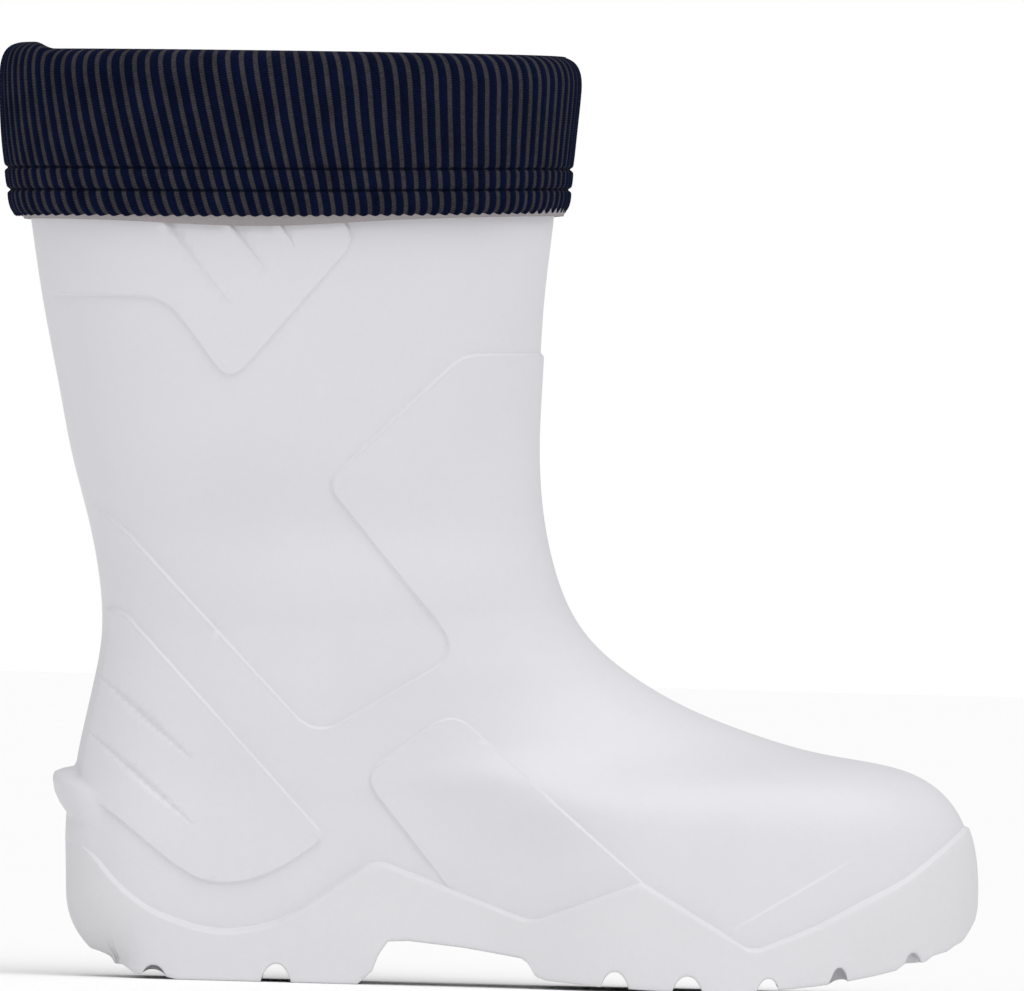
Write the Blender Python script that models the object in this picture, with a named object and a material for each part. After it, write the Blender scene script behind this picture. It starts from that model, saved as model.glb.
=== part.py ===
"""A moulded slip-on work boot: a hollow upper with raised panels, a cup sole and a fabric liner.

The boot is a right one. +X points to the toe, +Y to its inner side and +Z up, and it stands on z = 0.
Every piece comes from one form: rings stacked from the ground to the collar, read at an offset.
"""

import math

import bmesh
import bpy
import numpy as np

MM = 0.001

# Driving sizes
SOLE_LENGTH = 298.4 * MM
BALL_WIDTH = 104 * MM
WAIST_WIDTH = 75 * MM
HEEL_WIDTH = 72 * MM
ANKLE_WIDTH = 84 * MM
SHAFT_WIDTH = 114 * MM
INSTEP_HEIGHT = 150 * MM
COLLAR_HEIGHT = 298 * MM
SHAFT_BACK_FLARE = 26 * MM
SHAFT_FRONT_FLARE = 4 * MM
TOE_SWING = 6 * MM

# Walls, steps and clearances
UPPER_WALL = 4.5 * MM
LINER_WALL = 3.5 * MM
SOLE_WALL = 3.3 * MM
SOLE_PROUD = 1.5 * MM
PANEL_STEP = 1.0 * MM
TOE_BAND_STEP = 0.6 * MM
CLAW_STEP = 0.8 * MM
GROOVE_DEPTH = 1.2 * MM
CLEARANCE = 0.3 * MM

# Sole
SOLE_THICKNESS = 10 * MM
ARCH_HEIGHT = 14.7 * MM
TOE_SPRING = 29 * MM
HEEL_BEVEL = 16 * MM
CHANNEL_HEIGHT = 5.6 * MM
NOTCH_HEIGHT = 5 * MM
NOTCH_REACH = 7 * MM
RUNNER_WIDTH = 4.5 * MM
RUNNER_DEPTH = 4 * MM
RUNNER_SPACING = 27 * MM

# Spur and cuff
SPUR_REACH = 6.8 * MM
SPUR_HEIGHT = 65 * MM
SPUR_DROP = 15 * MM
SPUR_ROOT = 0.5 * MM
CUFF_DROP = 47 * MM
CUFF_THICKNESS = 6.2 * MM

# Fineness of the facets
AROUND = 44
ROW_STEPS = 1.25
DENSE = 240
CUTTER_REACH = 120 * MM
OVERSHOOT = 12 * MM
OVERLAP = 1 * MM
LEAST_STEP = 0.2

# Rings, bottom to top. Rises count 0 to 1 from the ground to the instep and 1 to 2 on to the collar.
# back and front are shares of the sole's length, heel, waist and ball of their own widths, leg is
# the share of the leg's width, flare of the flares, and the spans are the rounded ends' shares.
SECTION_COLUMNS = (
    "back_rise", "front_rise", "back", "front", "heel", "waist", "ball",
    "leg", "flare", "back_span", "front_span", "power",
)
SECTIONS = (
    (-0.07, -0.07, 0.010, 0.9920, 0.97, 0.97, 0.97, 0.00, 0.000, 0.135, 0.36, 2.45),
    (0.040, 0.080, 0.007, 0.9970, 0.99, 0.99, 0.99, 0.00, 0.000, 0.135, 0.36, 2.45),
    (0.115, 0.205, 0.006, 1.0000, 1.00, 1.00, 1.00, 0.00, 0.000, 0.135, 0.36, 2.45),
    (0.180, 0.310, 0.005, 0.9970, 1.00, 1.00, 1.00, 0.00, 0.000, 0.135, 0.37, 2.45),
    (0.235, 0.400, 0.004, 0.9820, 1.00, 1.00, 0.99, 0.00, 0.000, 0.140, 0.38, 2.45),
    (0.285, 0.467, 0.003, 0.9500, 1.00, 1.00, 0.96, 0.00, 0.000, 0.140, 0.40, 2.40),
    (0.330, 0.505, 0.003, 0.9000, 1.00, 1.00, 0.89, 0.00, 0.000, 0.150, 0.42, 2.30),
    (0.375, 0.528, 0.004, 0.8270, 0.99, 1.01, 0.82, 0.00, 0.000, 0.160, 0.42, 2.20),
    (0.425, 0.563, 0.006, 0.7580, 0.98, 1.01, 0.76, 0.05, 0.000, 0.180, 0.42, 2.10),
    (0.485, 0.612, 0.009, 0.6890, 0.98, 1.01, 0.74, 0.15, 0.000, 0.210, 0.42, 2.05),
    (0.560, 0.672, 0.016, 0.6300, 0.99, 1.02, 0.74, 0.32, 0.000, 0.260, 0.43, 2.05),
    (0.650, 0.745, 0.025, 0.5800, 1.00, 1.03, 0.76, 0.55, 0.000, 0.330, 0.45, 2.10),
    (0.755, 0.830, 0.032, 0.5470, 1.02, 1.05, 0.78, 0.78, 0.000, 0.410, 0.48, 2.15),
    (0.880, 0.930, 0.028, 0.5270, 1.05, 1.08, 0.80, 0.95, 0.010, 0.470, 0.50, 2.20),
    (1.013, 1.047, 0.015, 0.5140, 1.05, 1.08, 0.80, 1.00, 0.030, 0.500, 0.50, 2.20),
    (1.150, 1.190, 0.012, 0.5060, 1.05, 1.08, 0.80, 1.00, 0.215, 0.500, 0.50, 2.20),
    (1.305, 1.345, 0.012, 0.5050, 1.05, 1.08, 0.80, 1.00, 0.405, 0.500, 0.50, 2.20),
    (1.480, 1.520, 0.012, 0.5055, 1.05, 1.08, 0.80, 1.00, 0.620, 0.500, 0.50, 2.20),
    (1.660, 1.697, 0.012, 0.5110, 1.05, 1.08, 0.80, 1.00, 0.800, 0.500, 0.50, 2.20),
    (1.835, 1.858, 0.012, 0.5120, 1.05, 1.08, 0.80, 1.00, 0.953, 0.500, 0.50, 2.20),
    (2.000, 2.015, 0.012, 0.5130, 1.05, 1.08, 0.80, 1.00, 1.000, 0.500, 0.50, 2.20),
    (2.170, 2.185, 0.012, 0.5130, 1.05, 1.08, 0.80, 1.00, 1.040, 0.500, 0.50, 2.20),
)
COLLAR_ROW = 20
SOLE_TOP_ROW = 7

# Sides of a ring: which way they face, their shares of heel, waist and ball, and where those lie
SIDE_COLUMNS = ("sign", "heel", "waist", "ball", "heel_at", "waist_at", "ball_at", "toe_span")
SIDES = (
    (-1, 1.00, 1.03, 1.03, 0.14, 0.40, 0.65, 1.08),
    (1, 1.00, 0.97, 0.97, 0.14, 0.44, 0.71, 0.84),
)

# Underside: along is a share of the length, the others of the bevel, the arch and the spring
# The columns are along, bevel, arch and spring.
GROUND = (
    (-0.040, 1.90, 0.00, 0.000),
    (0.003, 1.06, 0.00, 0.000),
    (0.017, 0.70, 0.00, 0.000),
    (0.034, 0.49, 0.00, 0.000),
    (0.054, 0.27, 0.00, 0.000),
    (0.078, 0.12, 0.00, 0.000),
    (0.128, 0.00, 0.00, 0.000),
    (0.326, 0.00, 0.00, 0.000),
    (0.340, 0.00, 0.28, 0.000),
    (0.352, 0.00, 0.86, 0.000),
    (0.378, 0.00, 1.00, 0.000),
    (0.440, 0.00, 0.88, 0.000),
    (0.505, 0.00, 0.67, 0.000),
    (0.518, 0.00, 0.26, 0.000),
    (0.530, 0.00, 0.15, 0.000),
    (0.590, 0.00, 0.03, 0.000),
    (0.620, 0.00, 0.00, 0.000),
    (0.745, 0.00, 0.00, 0.000),
    (0.785, 0.00, 0.00, 0.060),
    (0.838, 0.00, 0.00, 0.140),
    (0.893, 0.00, 0.00, 0.240),
    (0.925, 0.00, 0.00, 0.350),
    (0.960, 0.00, 0.00, 0.500),
    (0.982, 0.00, 0.00, 0.635),
    (0.997, 0.00, 0.00, 0.800),
    (1.005, 0.00, 0.00, 1.000),
    (1.040, 0.00, 0.00, 1.900),
)

# Seat of the upper's lower edge and footbed, over the sole's thickness, the arch and the spring
BED_COLUMNS = ("along", "seat", "bed", "arch", "spring")
BED = (
    (-0.050, 2.15, 2.75, 0.00, 0.00),
    (0.040, 1.75, 2.65, 0.00, 0.00),
    (0.110, 1.30, 2.58, 0.00, 0.00),
    (0.200, 1.10, 2.45, 0.05, 0.00),
    (0.290, 0.85, 1.80, 0.55, 0.00),
    (0.380, 0.60, 1.20, 1.00, 0.00),
    (0.500, 0.58, 1.10, 0.66, 0.00),
    (0.610, 0.88, 1.20, 0.15, 0.00),
    (0.715, 0.98, 1.30, 0.00, 0.00),
    (0.810, 0.95, 1.30, 0.00, 0.12),
    (0.900, 0.88, 1.25, 0.00, 0.31),
    (0.980, 0.80, 1.20, 0.00, 0.58),
    (1.060, 0.80, 1.20, 0.00, 0.88),
)

# Outlines on the boot's side. Each row is along as a share of the length, rise as above, and the
# corner's radius in millimetres.
SOLE_LINE = (
    (-0.120, 0.335, 0), (-0.020, 0.330, 6), (0.028, 0.275, 8), (0.054, 0.210, 10),
    (0.088, 0.150, 14), (0.165, 0.096, 26), (0.232, 0.128, 20), (0.339, 0.276, 12),
    (0.512, 0.151, 10), (0.632, 0.243, 3), (0.757, 0.098, 8), (0.826, 0.157, 10),
    (0.923, 0.262, 30), (0.975, 0.350, 20), (1.120, 0.640, 0),
)
QUARTER = (
    (-0.400, 1.115, 0), (0.010, 1.048, 20), (0.060, 0.967, 8), (0.271, 0.537, 12),
    (0.429, 0.730, 10), (0.274, 1.092, 6), (0.423, 1.385, 14), (0.700, 1.405, 0),
    (1.200, 1.405, 0), (1.200, -0.040, 0), (-0.400, -0.040, 0),
)
COLLAR_PANEL = (
    (-0.400, 1.500, 0), (0.095, 1.496, 18), (0.168, 1.303, 16), (0.304, 1.632, 12),
    (0.110, 2.120, 0), (-0.400, 2.120, 0),
)
HEEL_PANEL = (
    (-0.400, 0.812, 0), (0.055, 0.806, 12), (0.284, 0.316, 8), (0.224, 0.244, 30),
    (0.155, 0.212, 40), (0.084, 0.262, 40), (0.037, 0.378, 20), (-0.400, 0.520, 0),
)
MID_PANEL = (
    (0.322, 0.456, 8), (0.420, 0.602, 10), (0.645, 0.220, 0), (0.560, 0.050, 0), (0.448, 0.150, 0),
)
TOE_BAND = (
    (0.700, 0.020, 0), (0.733, 0.139, 0), (0.840, 0.284, 40), (0.925, 0.356, 60),
    (1.120, 0.480, 0), (1.120, 0.020, 0),
)
CLAWS = (
    ((0.070, 1.680, 0), (0.115, 1.680, 0), (0.170, 1.480, 0)),
    ((0.135, 1.680, 0), (0.178, 1.680, 0), (0.205, 1.560, 0)),
    ((0.195, 1.680, 0), (0.228, 1.680, 0), (0.236, 1.616, 0)),
)
HEEL_GROOVES = (
    ((0.036, 0.645, 0), (0.052, 0.668, 0), (0.124, 0.512, 0)),
    ((0.022, 0.515, 0), (0.040, 0.540, 0), (0.116, 0.372, 0)),
)

# The cuff outside, hem to fold: height over the hem as a share of its drop, and share of its thickness
CUFF = (
    (0.00, 0.72), (0.04, 0.97), (0.13, 0.98), (0.18, 0.72), (0.23, 0.93), (0.29, 0.93),
    (0.33, 0.78), (0.42, 0.94), (0.60, 0.98), (0.82, 1.02), (0.94, 1.00), (1.02, 0.87),
    (1.08, 0.60), (1.115, 0.15), (1.125, -0.40), (1.105, -0.95), (1.07, -1.25),
)

# Channels right across the sole, and notches in its edges: along is the middle, width in mm
CHANNELS = ((0.233, 11.5), (0.605, 8.6), (0.687, 9.4), (0.775, 6.6))
NOTCHES = ((0.092, 8.5), (0.855, 8.5), (0.936, 8.0))

COLOURS = {
    "upper": ((0.84, 0.84, 0.87), 0.45),
    "sole": ((0.82, 0.82, 0.81), 0.55),
    "liner": ((0.02, 0.03, 0.09), 0.95),
}


def spline(rows, at):
    """The natural cubic curve through rows one apart, read at the row numbers asked."""
    rows = np.asarray(rows, float)
    count = len(rows)
    system = np.eye(count)
    pull = np.zeros_like(rows)
    for i in range(1, count - 1):
        system[i, i - 1:i + 2] = (1, 4, 1)
        pull[i] = 6 * (rows[i - 1] - 2 * rows[i] + rows[i + 1])
    bend = np.linalg.solve(system, pull)
    low = np.clip(np.floor(at).astype(int), 0, count - 2)
    after = (np.asarray(at) - low)[:, None]
    before = 1 - after
    straight = before * rows[low] + after * rows[low + 1]
    return straight + ((before**3 - before) * bend[low] + (after**3 - after) * bend[low + 1]) / 6


def height_of(rise):
    """Height at a rise: 0 to 1 climbs from the ground to the instep, 1 to 2 on to the collar."""
    low = np.minimum(rise, 1) * INSTEP_HEIGHT
    return low + np.maximum(rise - 1, 0) * (COLLAR_HEIGHT - INSTEP_HEIGHT)


def ease(value, start, end):
    """A smooth step from 0 at start to 1 at end, level at both."""
    share = np.clip((value - start) / (end - start), 0, 1)
    return share**3 * (share * (share * 6 - 15) + 10)


def rounded_end(distance, span, power):
    """Half-width of a superellipse end: 0 at the tip and 1 where its span ends."""
    share = np.clip(1 - distance / span, 0, 1)
    return (1 - share**power) ** (1 / power)


def section(levels):
    """The named columns of the rings at these levels, as columns that a ring's points can use."""
    table = spline(SECTIONS, np.asarray(levels, float))
    return {name: table[:, [i]] for i, name in enumerate(SECTION_COLUMNS)}


def side_points(ring, side, along):
    """Points down one side of every ring from its back tip to its front tip, as (ring, point, 3)."""
    leg_width = ANKLE_WIDTH + (SHAFT_WIDTH - ANKLE_WIDTH) * np.sqrt(np.clip(ring["flare"], 0, None))
    widths = {}
    for name, foot_width in (("heel", HEEL_WIDTH), ("waist", WAIST_WIDTH), ("ball", BALL_WIDTH)):
        foot = ring[name] * side[name] * foot_width / 2
        widths[name] = foot + ring["leg"] * (leg_width / 2 - foot)
    half = widths["heel"] + (widths["waist"] - widths["heel"]) * ease(along, side["heel_at"], side["waist_at"])
    half = half + (widths["ball"] - widths["waist"]) * ease(along, side["waist_at"], side["ball_at"])
    toe_share = side["toe_span"] + (1 - side["toe_span"]) * ring["leg"]
    half = half * rounded_end(along, ring["back_span"], ring["power"])
    half = half * rounded_end(1 - along, ring["front_span"] * toe_share, ring["power"])
    swing = TOE_SWING * (1 - ring["leg"]) * np.clip((along - 0.3) / 0.7, 0, 1) ** 2
    back = ring["back"] * SOLE_LENGTH - ring["flare"] * SHAFT_BACK_FLARE
    front = ring["front"] * SOLE_LENGTH + ring["flare"] * SHAFT_FRONT_FLARE
    low = height_of(ring["back_rise"])
    high = height_of(ring["front_rise"])
    x = back + (front - back) * along
    z = low + (high - low) * along
    return np.stack([x, swing + side["sign"] * half, z + 0 * x], axis=2)


def spread(points, count):
    """The same curve with count points, spaced half by its length and half by how much it turns."""
    steps = np.diff(points[:, :2], axis=0)
    turn = np.abs(np.diff(np.unwrap(np.arctan2(steps[:, 1], steps[:, 0]))))
    turn = np.concatenate([[0], turn]) + np.concatenate([turn, [0]])
    length = np.linalg.norm(steps, axis=1)
    travel = np.cumsum(length / length.sum() + turn / turn.sum())
    travel = np.concatenate([[0], travel])
    wanted = np.linspace(0, travel[-1], count)
    return np.stack([np.interp(wanted, travel, points[:, k]) for k in range(3)], axis=1)


def rings(levels):
    """Points of the form at these levels, as (ring, point, 3). They run from the heel round the outer side."""
    ring = section(levels)
    along = (1 - np.cos(np.linspace(0, math.pi, DENSE)))[None, :] / 2
    half = AROUND // 2
    sides = []
    for row in SIDES:
        points = side_points(ring, dict(zip(SIDE_COLUMNS, row)), along)
        sides.append(np.stack([spread(one, half + 1) for one in points]))
    outer, inner = sides
    return np.concatenate([outer, inner[:, -2:0:-1]], axis=1)


def normals(points):
    """Outward directions of a grid of rings, from the differences along and across them."""
    around = np.roll(points, -1, axis=1) - np.roll(points, 1, axis=1)
    up = np.gradient(points, axis=0)
    found = np.cross(around, up)
    return found / np.linalg.norm(found, axis=2, keepdims=True)


LEVELS = np.linspace(0, len(SECTIONS) - 1, int((len(SECTIONS) - 1) * ROW_STEPS) // 2 * 2 + 1)
BASE = rings(LEVELS)
OUTWARD = normals(BASE)


def level_at_height(height):
    """The level whose ring's back tip is at this height."""
    fine = np.linspace(0, len(SECTIONS) - 1, DENSE * 4)
    return float(np.interp(height, height_of(section(fine)["back_rise"])[:, 0], fine))


def read_grid(level, offset, step=1):
    """One ring at any level, offset along the form's own normals, lying on the facets of that step's grid."""
    levels = LEVELS[::step]
    low = int(np.clip(np.searchsorted(levels, level) - 1, 0, len(levels) - 2))
    share = (level - levels[low]) / (levels[low + 1] - levels[low])
    around = (BASE + OUTWARD * offset)[::step, ::step]
    return around[low] + (around[low + 1] - around[low]) * share


def add_object(name, mesh, collection):
    """The mesh as an object, set back so that the boot's middle comes to the origin."""
    obj = bpy.data.objects.new(name, mesh)
    obj.location = (-MIDDLE[0], -MIDDLE[1], 0)
    collection.objects.link(obj)
    if collection is CUTTERS:
        obj.hide_render = True
        obj.display_type = "WIRE"
    return obj


def add_bmesh(name, bm):
    """A closed cutter or layer from a finished bmesh, with its faces turned outwards."""
    bmesh.ops.recalc_face_normals(bm, faces=bm.faces)
    mesh = bpy.data.meshes.new(name)
    bm.to_mesh(mesh)
    bm.free()
    return add_object(name, mesh, CUTTERS)


def loft(name, stack, collection):
    """A closed solid through a stack of rings, with a fan of faces over each end."""
    count, around, _ = stack.shape
    ends = [stack[0].mean(axis=0), stack[-1].mean(axis=0)]
    verts = np.concatenate([stack.reshape(-1, 3), ends])
    bottom = count * around
    faces = []
    for j in range(around):
        after = (j + 1) % around
        faces.append((bottom, after, j))
        last = (count - 1) * around
        faces.append((bottom + 1, last + j, last + after))
        for i in range(count - 1):
            low = i * around
            high = low + around
            faces.append((low + j, low + after, high + after))
            faces.append((low + j, high + after, high + j))
    mesh = bpy.data.meshes.new(name)
    mesh.from_pydata([tuple(point) for point in verts], [], faces)
    mesh.update()
    return add_object(name, mesh, collection)


def form(name, offset, collection=None, bottom=0, top=len(SECTIONS) - 1, fine=True):
    """The boot's form at an offset, between two levels. Inner surfaces take every second ring and point."""
    step = 1 if fine else 2
    levels = LEVELS[::step]
    inside = (levels > bottom + LEAST_STEP) & (levels < top - LEAST_STEP)
    stack = (BASE + OUTWARD * offset)[::step, ::step][inside]
    ends = [read_grid(level, offset, step)[None] for level in (bottom, top)]
    return loft(name, np.concatenate([ends[0], stack, ends[1]]), collection or CUTTERS)


def boolean(obj, other, operation):
    modifier = obj.modifiers.new(f"{operation.lower()} {other.name}", "BOOLEAN")
    modifier.operation = operation
    modifier.object = other
    modifier.solver = "EXACT"
    return obj


def boolean_all(obj, name, others, operation):
    """One Boolean with several solids at once, held together in a collection of their own."""
    group = bpy.data.collections.new(name)
    CUTTERS.children.link(group)
    for other in others:
        CUTTERS.objects.unlink(other)
        group.objects.link(other)
    modifier = obj.modifiers.new(f"{operation.lower()} {name}", "BOOLEAN")
    modifier.operation = operation
    modifier.operand_type = "COLLECTION"
    modifier.collection = group
    modifier.solver = "EXACT"
    return obj


def prism(name, outline, reach=CUTTER_REACH, middle=0.0):
    """A solid with this outline in XZ, across the boot."""
    bm = bmesh.new()
    verts = [bm.verts.new((x, middle - reach, z)) for x, z in outline]
    face = bm.faces.new(verts)
    made = bmesh.ops.extrude_face_region(bm, geom=[face])
    moved = [item for item in made["geom"] if isinstance(item, bmesh.types.BMVert)]
    bmesh.ops.translate(bm, verts=moved, vec=(0, 2 * reach, 0))
    return add_bmesh(name, bm)


def rounded(rows, steps=3):
    """An outline from rows of along, rise and radius, with an arc at each corner that has a radius."""
    corners = np.array([(along * SOLE_LENGTH, height_of(rise)) for along, rise, _ in rows])
    points = []
    for i, (_, _, radius) in enumerate(rows):
        corner = corners[i]
        if radius == 0:
            points.append(tuple(corner))
            continue
        back = corners[i - 1] - corner
        ahead = corners[(i + 1) % len(rows)] - corner
        reach = min(np.linalg.norm(back), np.linalg.norm(ahead)) * 0.48
        back = back / np.linalg.norm(back)
        ahead = ahead / np.linalg.norm(ahead)
        opening = math.acos(float(np.clip(back @ ahead, -1, 1)))
        cut = min(radius * MM / math.tan(opening / 2), reach)
        start = corner + back * cut
        end = corner + ahead * cut
        for step in range(steps + 1):
            share = step / steps
            points.append(tuple((1 - share) ** 2 * start + 2 * share * (1 - share) * corner + share**2 * end))
    return points


def raised(name, outline, offset):
    """A raised panel: the form at its own offset, kept inside an outline."""
    return boolean(form(name, offset), prism(f"{name} outline", rounded(outline)), "INTERSECT")


def ground_line():
    """The underside's points from heel to toe."""
    return [
        (along * SOLE_LENGTH, bevel * HEEL_BEVEL + arch * ARCH_HEIGHT + spring * TOE_SPRING)
        for along, bevel, arch, spring in GROUND
    ]


def bed_line(column, lift):
    """The seat's or the footbed's points from heel to toe, lifted by a gap or a wall."""
    table = dict(zip(BED_COLUMNS, spline(BED, np.linspace(0, len(BED) - 1, 2 * len(BED) - 1)).T))
    height = table[column] * SOLE_THICKNESS + table["arch"] * ARCH_HEIGHT + table["spring"] * TOE_SPRING
    return list(zip(table["along"] * SOLE_LENGTH, height + lift))


def up_to(name, line, height):
    """Everything between a line of the sole, run on level past both ends, and a height."""
    start = line[0][0] - CUTTER_REACH
    end = line[-1][0] + CUTTER_REACH
    ends = [(end, line[-1][1]), (end, height), (start, height), (start, line[0][1])]
    return prism(name, list(line) + ends)


def above(name, line):
    """Everything over a line of the sole, to well above the collar."""
    return up_to(name, line, COLLAR_HEIGHT + CUTTER_REACH)


def arch_outline(along, width, height):
    """The outline of a channel with a rounded top, open at the ground under it."""
    middle = along * SOLE_LENGTH
    ground = np.interp(middle, *np.array(ground_line()).T)
    half = width * MM / 2
    turn = np.linspace(0, math.pi, 5)
    top = [(middle + half * math.cos(a), ground + height - half * 0.8 * (1 - math.sin(a))) for a in turn]
    return [(middle + half, -OVERSHOOT)] + top + [(middle - half, -OVERSHOOT)]


def spur():
    """The kick-off ledge round the heel: sharp on top, thinning downwards and towards its two ends."""
    ends = AROUND // 10
    columns = np.arange(-ends, ends + 1)
    fade = 1 - np.abs(columns / ends) ** 2.2
    crest = SPUR_HEIGHT - 0.62 * SPUR_DROP * np.abs(columns / ends) ** 1.6
    profile = ((0.30, 0.00), (0.12, 0.45), (0.02, 0.92), (-0.10, 1.00), (-0.45, 0.72), (-1.00, 0.00))
    outer = []
    inner = []
    for drop, share in profile:
        level = [level_at_height(one + drop * SPUR_DROP) for one in crest]
        reaches = share * (SPUR_REACH + SPUR_ROOT) * fade - SPUR_ROOT
        for store, reach in ((outer, reaches), (inner, 0 * fade - UPPER_WALL / 2)):
            store.append([read_grid(level[k], reach[k])[columns[k]] for k in range(len(columns))])
    bm = bmesh.new()
    loops = np.concatenate([np.array(outer), np.array(inner)[::-1]])
    verts = [[bm.verts.new(point) for point in row] for row in loops]
    count = len(verts)
    for i in range(count):
        after = (i + 1) % count
        for j in range(len(columns) - 1):
            bm.faces.new((verts[i][j], verts[after][j], verts[after][j + 1], verts[i][j + 1]))
    bm.faces.new([row[0] for row in verts])
    bm.faces.new([row[-1] for row in verts])
    return add_bmesh("spur", bm)


def make_upper():
    """The shell: the recessed shaft with its raised layers, then the cavity, rebate, ends and grooves cut."""
    upper = form("upper", -PANEL_STEP, BOOT)
    layers = [
        raised("quarter", QUARTER, 0.0),
        raised("collar panel", COLLAR_PANEL, 0.0),
        raised("heel panel", HEEL_PANEL, PANEL_STEP),
        raised("mid panel", MID_PANEL, PANEL_STEP),
        raised("toe band", TOE_BAND, TOE_BAND_STEP),
        spur(),
    ]
    layers += [raised(f"claw {i}", outline, CLAW_STEP) for i, outline in enumerate(CLAWS)]
    boolean_all(upper, "layers", layers, "UNION")
    rim = read_grid(COLLAR_ROW, 0)
    rim_line = [(point[0], point[2]) for point in (rim[0], rim[AROUND // 2])]
    cuts = [
        above("over the collar", rim_line),
        up_to("under the seat", bed_line("seat", CLEARANCE), -CUTTER_REACH),
        form("cavity", -UPPER_WALL, fine=False),
    ]
    for i, outline in enumerate(HEEL_GROOVES):
        groove = prism(f"heel groove {i}", rounded(outline))
        cuts.append(boolean(groove, form(f"groove floor {i}", PANEL_STEP - GROOVE_DEPTH), "DIFFERENCE"))
    line = [(x, z + CLEARANCE * 1.2) for x, z in rounded(SOLE_LINE)]
    rebate = up_to("rebate", line, -CUTTER_REACH)
    cuts.append(boolean(rebate, form("skirt", SOLE_PROUD - SOLE_WALL - CLEARANCE, fine=False), "DIFFERENCE"))
    return boolean_all(upper, "cuts", cuts, "DIFFERENCE")


def make_sole():
    """The cup sole: side wall up to its line, a groove that takes the upper's edge, and the footbed plug."""
    sole = form("sole", SOLE_PROUD, BOOT, top=SOLE_TOP_ROW)
    line = rounded(SOLE_LINE)
    body = prism("sole body", line + ground_line()[::-1])
    boolean(sole, body, "INTERSECT")
    cup = form("cup", SOLE_PROUD - SOLE_WALL, fine=False)
    boolean(cup, above("over the groove", bed_line("seat", 0)), "INTERSECT")
    boolean(sole, cup, "DIFFERENCE")
    plug = form("plug", -UPPER_WALL - CLEARANCE, fine=False)
    bed = bed_line("bed", 0)
    root = bed_line("seat", -OVERLAP)
    boolean(plug, prism("plug body", bed + root[::-1]), "INTERSECT")
    boolean(sole, plug, "UNION")
    for i, (along, width) in enumerate(CHANNELS):
        boolean(sole, prism(f"channel {i}", arch_outline(along, width, CHANNEL_HEIGHT)), "DIFFERENCE")
    for i, (along, width) in enumerate(NOTCHES):
        notch = prism(f"notch {i}", arch_outline(along, width, NOTCH_HEIGHT))
        boolean(notch, form(f"notch end {i}", SOLE_PROUD - NOTCH_REACH), "DIFFERENCE")
        boolean(sole, notch, "DIFFERENCE")
    for side in (-1, 1):
        line = [(x, z + RUNNER_DEPTH) for x, z in ground_line()]
        middle = side * RUNNER_SPACING / 2
        runner = prism(f"runner {side}", [(x, z - OVERSHOOT) for x, z in line] + line[::-1], RUNNER_WIDTH / 2, middle)
        boolean(sole, runner, "DIFFERENCE")
    return sole


def cuff_rings():
    """Rings of the turned-down cuff's outside, from the hem up and over the fold."""
    hem = COLLAR_HEIGHT - CUFF_DROP
    return np.array([read_grid(level_at_height(hem + up * CUFF_DROP), out * CUFF_THICKNESS) for up, out in CUFF])


def make_liner():
    """The sock with its cuff: a solid cuff less the collar it hangs over, the sock, then the hollow."""
    hem = level_at_height(COLLAR_HEIGHT - CUFF_DROP - OVERSHOOT)
    fold = level_at_height(COLLAR_HEIGHT + CLEARANCE)
    liner = loft("liner", CUFF_RINGS, BOOT)
    boolean(liner, form("collar space", CLEARANCE, bottom=hem, top=fold), "DIFFERENCE")
    sock = form("sock", -UPPER_WALL - CLEARANCE, top=fold + LEAST_STEP / 2, fine=False)
    boolean(sock, above("over the footbed", bed_line("bed", CLEARANCE)), "INTERSECT")
    boolean(liner, sock, "UNION")
    hollow = form("liner hollow", -UPPER_WALL - CLEARANCE - LINER_WALL, fine=False)
    boolean(hollow, above("over the sock sole", bed_line("bed", CLEARANCE + LINER_WALL)), "INTERSECT")
    boolean(liner, hollow, "DIFFERENCE")
    return liner


def finish(obj):
    colour, roughness = COLOURS[obj.name]
    material = bpy.data.materials.new(obj.name)
    material.use_nodes = True
    shader = material.node_tree.nodes["Principled BSDF"]
    shader.inputs["Base Color"].default_value = (*colour, 1)
    shader.inputs["Roughness"].default_value = roughness
    shader.inputs["Metallic"].default_value = 0.0
    obj.data.materials.append(material)


def add_collection(name):
    made = bpy.data.collections.new(name)
    bpy.context.scene.collection.children.link(made)
    return made


for old in list(bpy.data.objects):
    bpy.data.objects.remove(old, do_unlink=True)
BOOT = add_collection("work boot")
CUTTERS = add_collection("cutters")
CUTTERS.hide_render = True

CUFF_RINGS = cuff_rings()
TOE_TIP = (BASE + OUTWARD * SOLE_PROUD)[:, :, 0].max()
MIDDLE = (
    (CUFF_RINGS[:, :, 0].min() + TOE_TIP) / 2,
    (CUFF_RINGS[:, :, 1].min() + CUFF_RINGS[:, :, 1].max()) / 2,
)

for piece in (make_upper(), make_sole(), make_liner()):
    finish(piece)
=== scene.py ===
"""A white moulded slip-on work boot with a ribbed navy liner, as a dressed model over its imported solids.

Shapes are worked out in metres forward of the heel's back (x), towards the boot's inner side (y) and up
from the ground (z). MIDDLE takes them to the solids' frame, whose origin lies under the boot's middle.
"""

import math

import bmesh
import bpy
import numpy as np
from mathutils import Matrix


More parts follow.
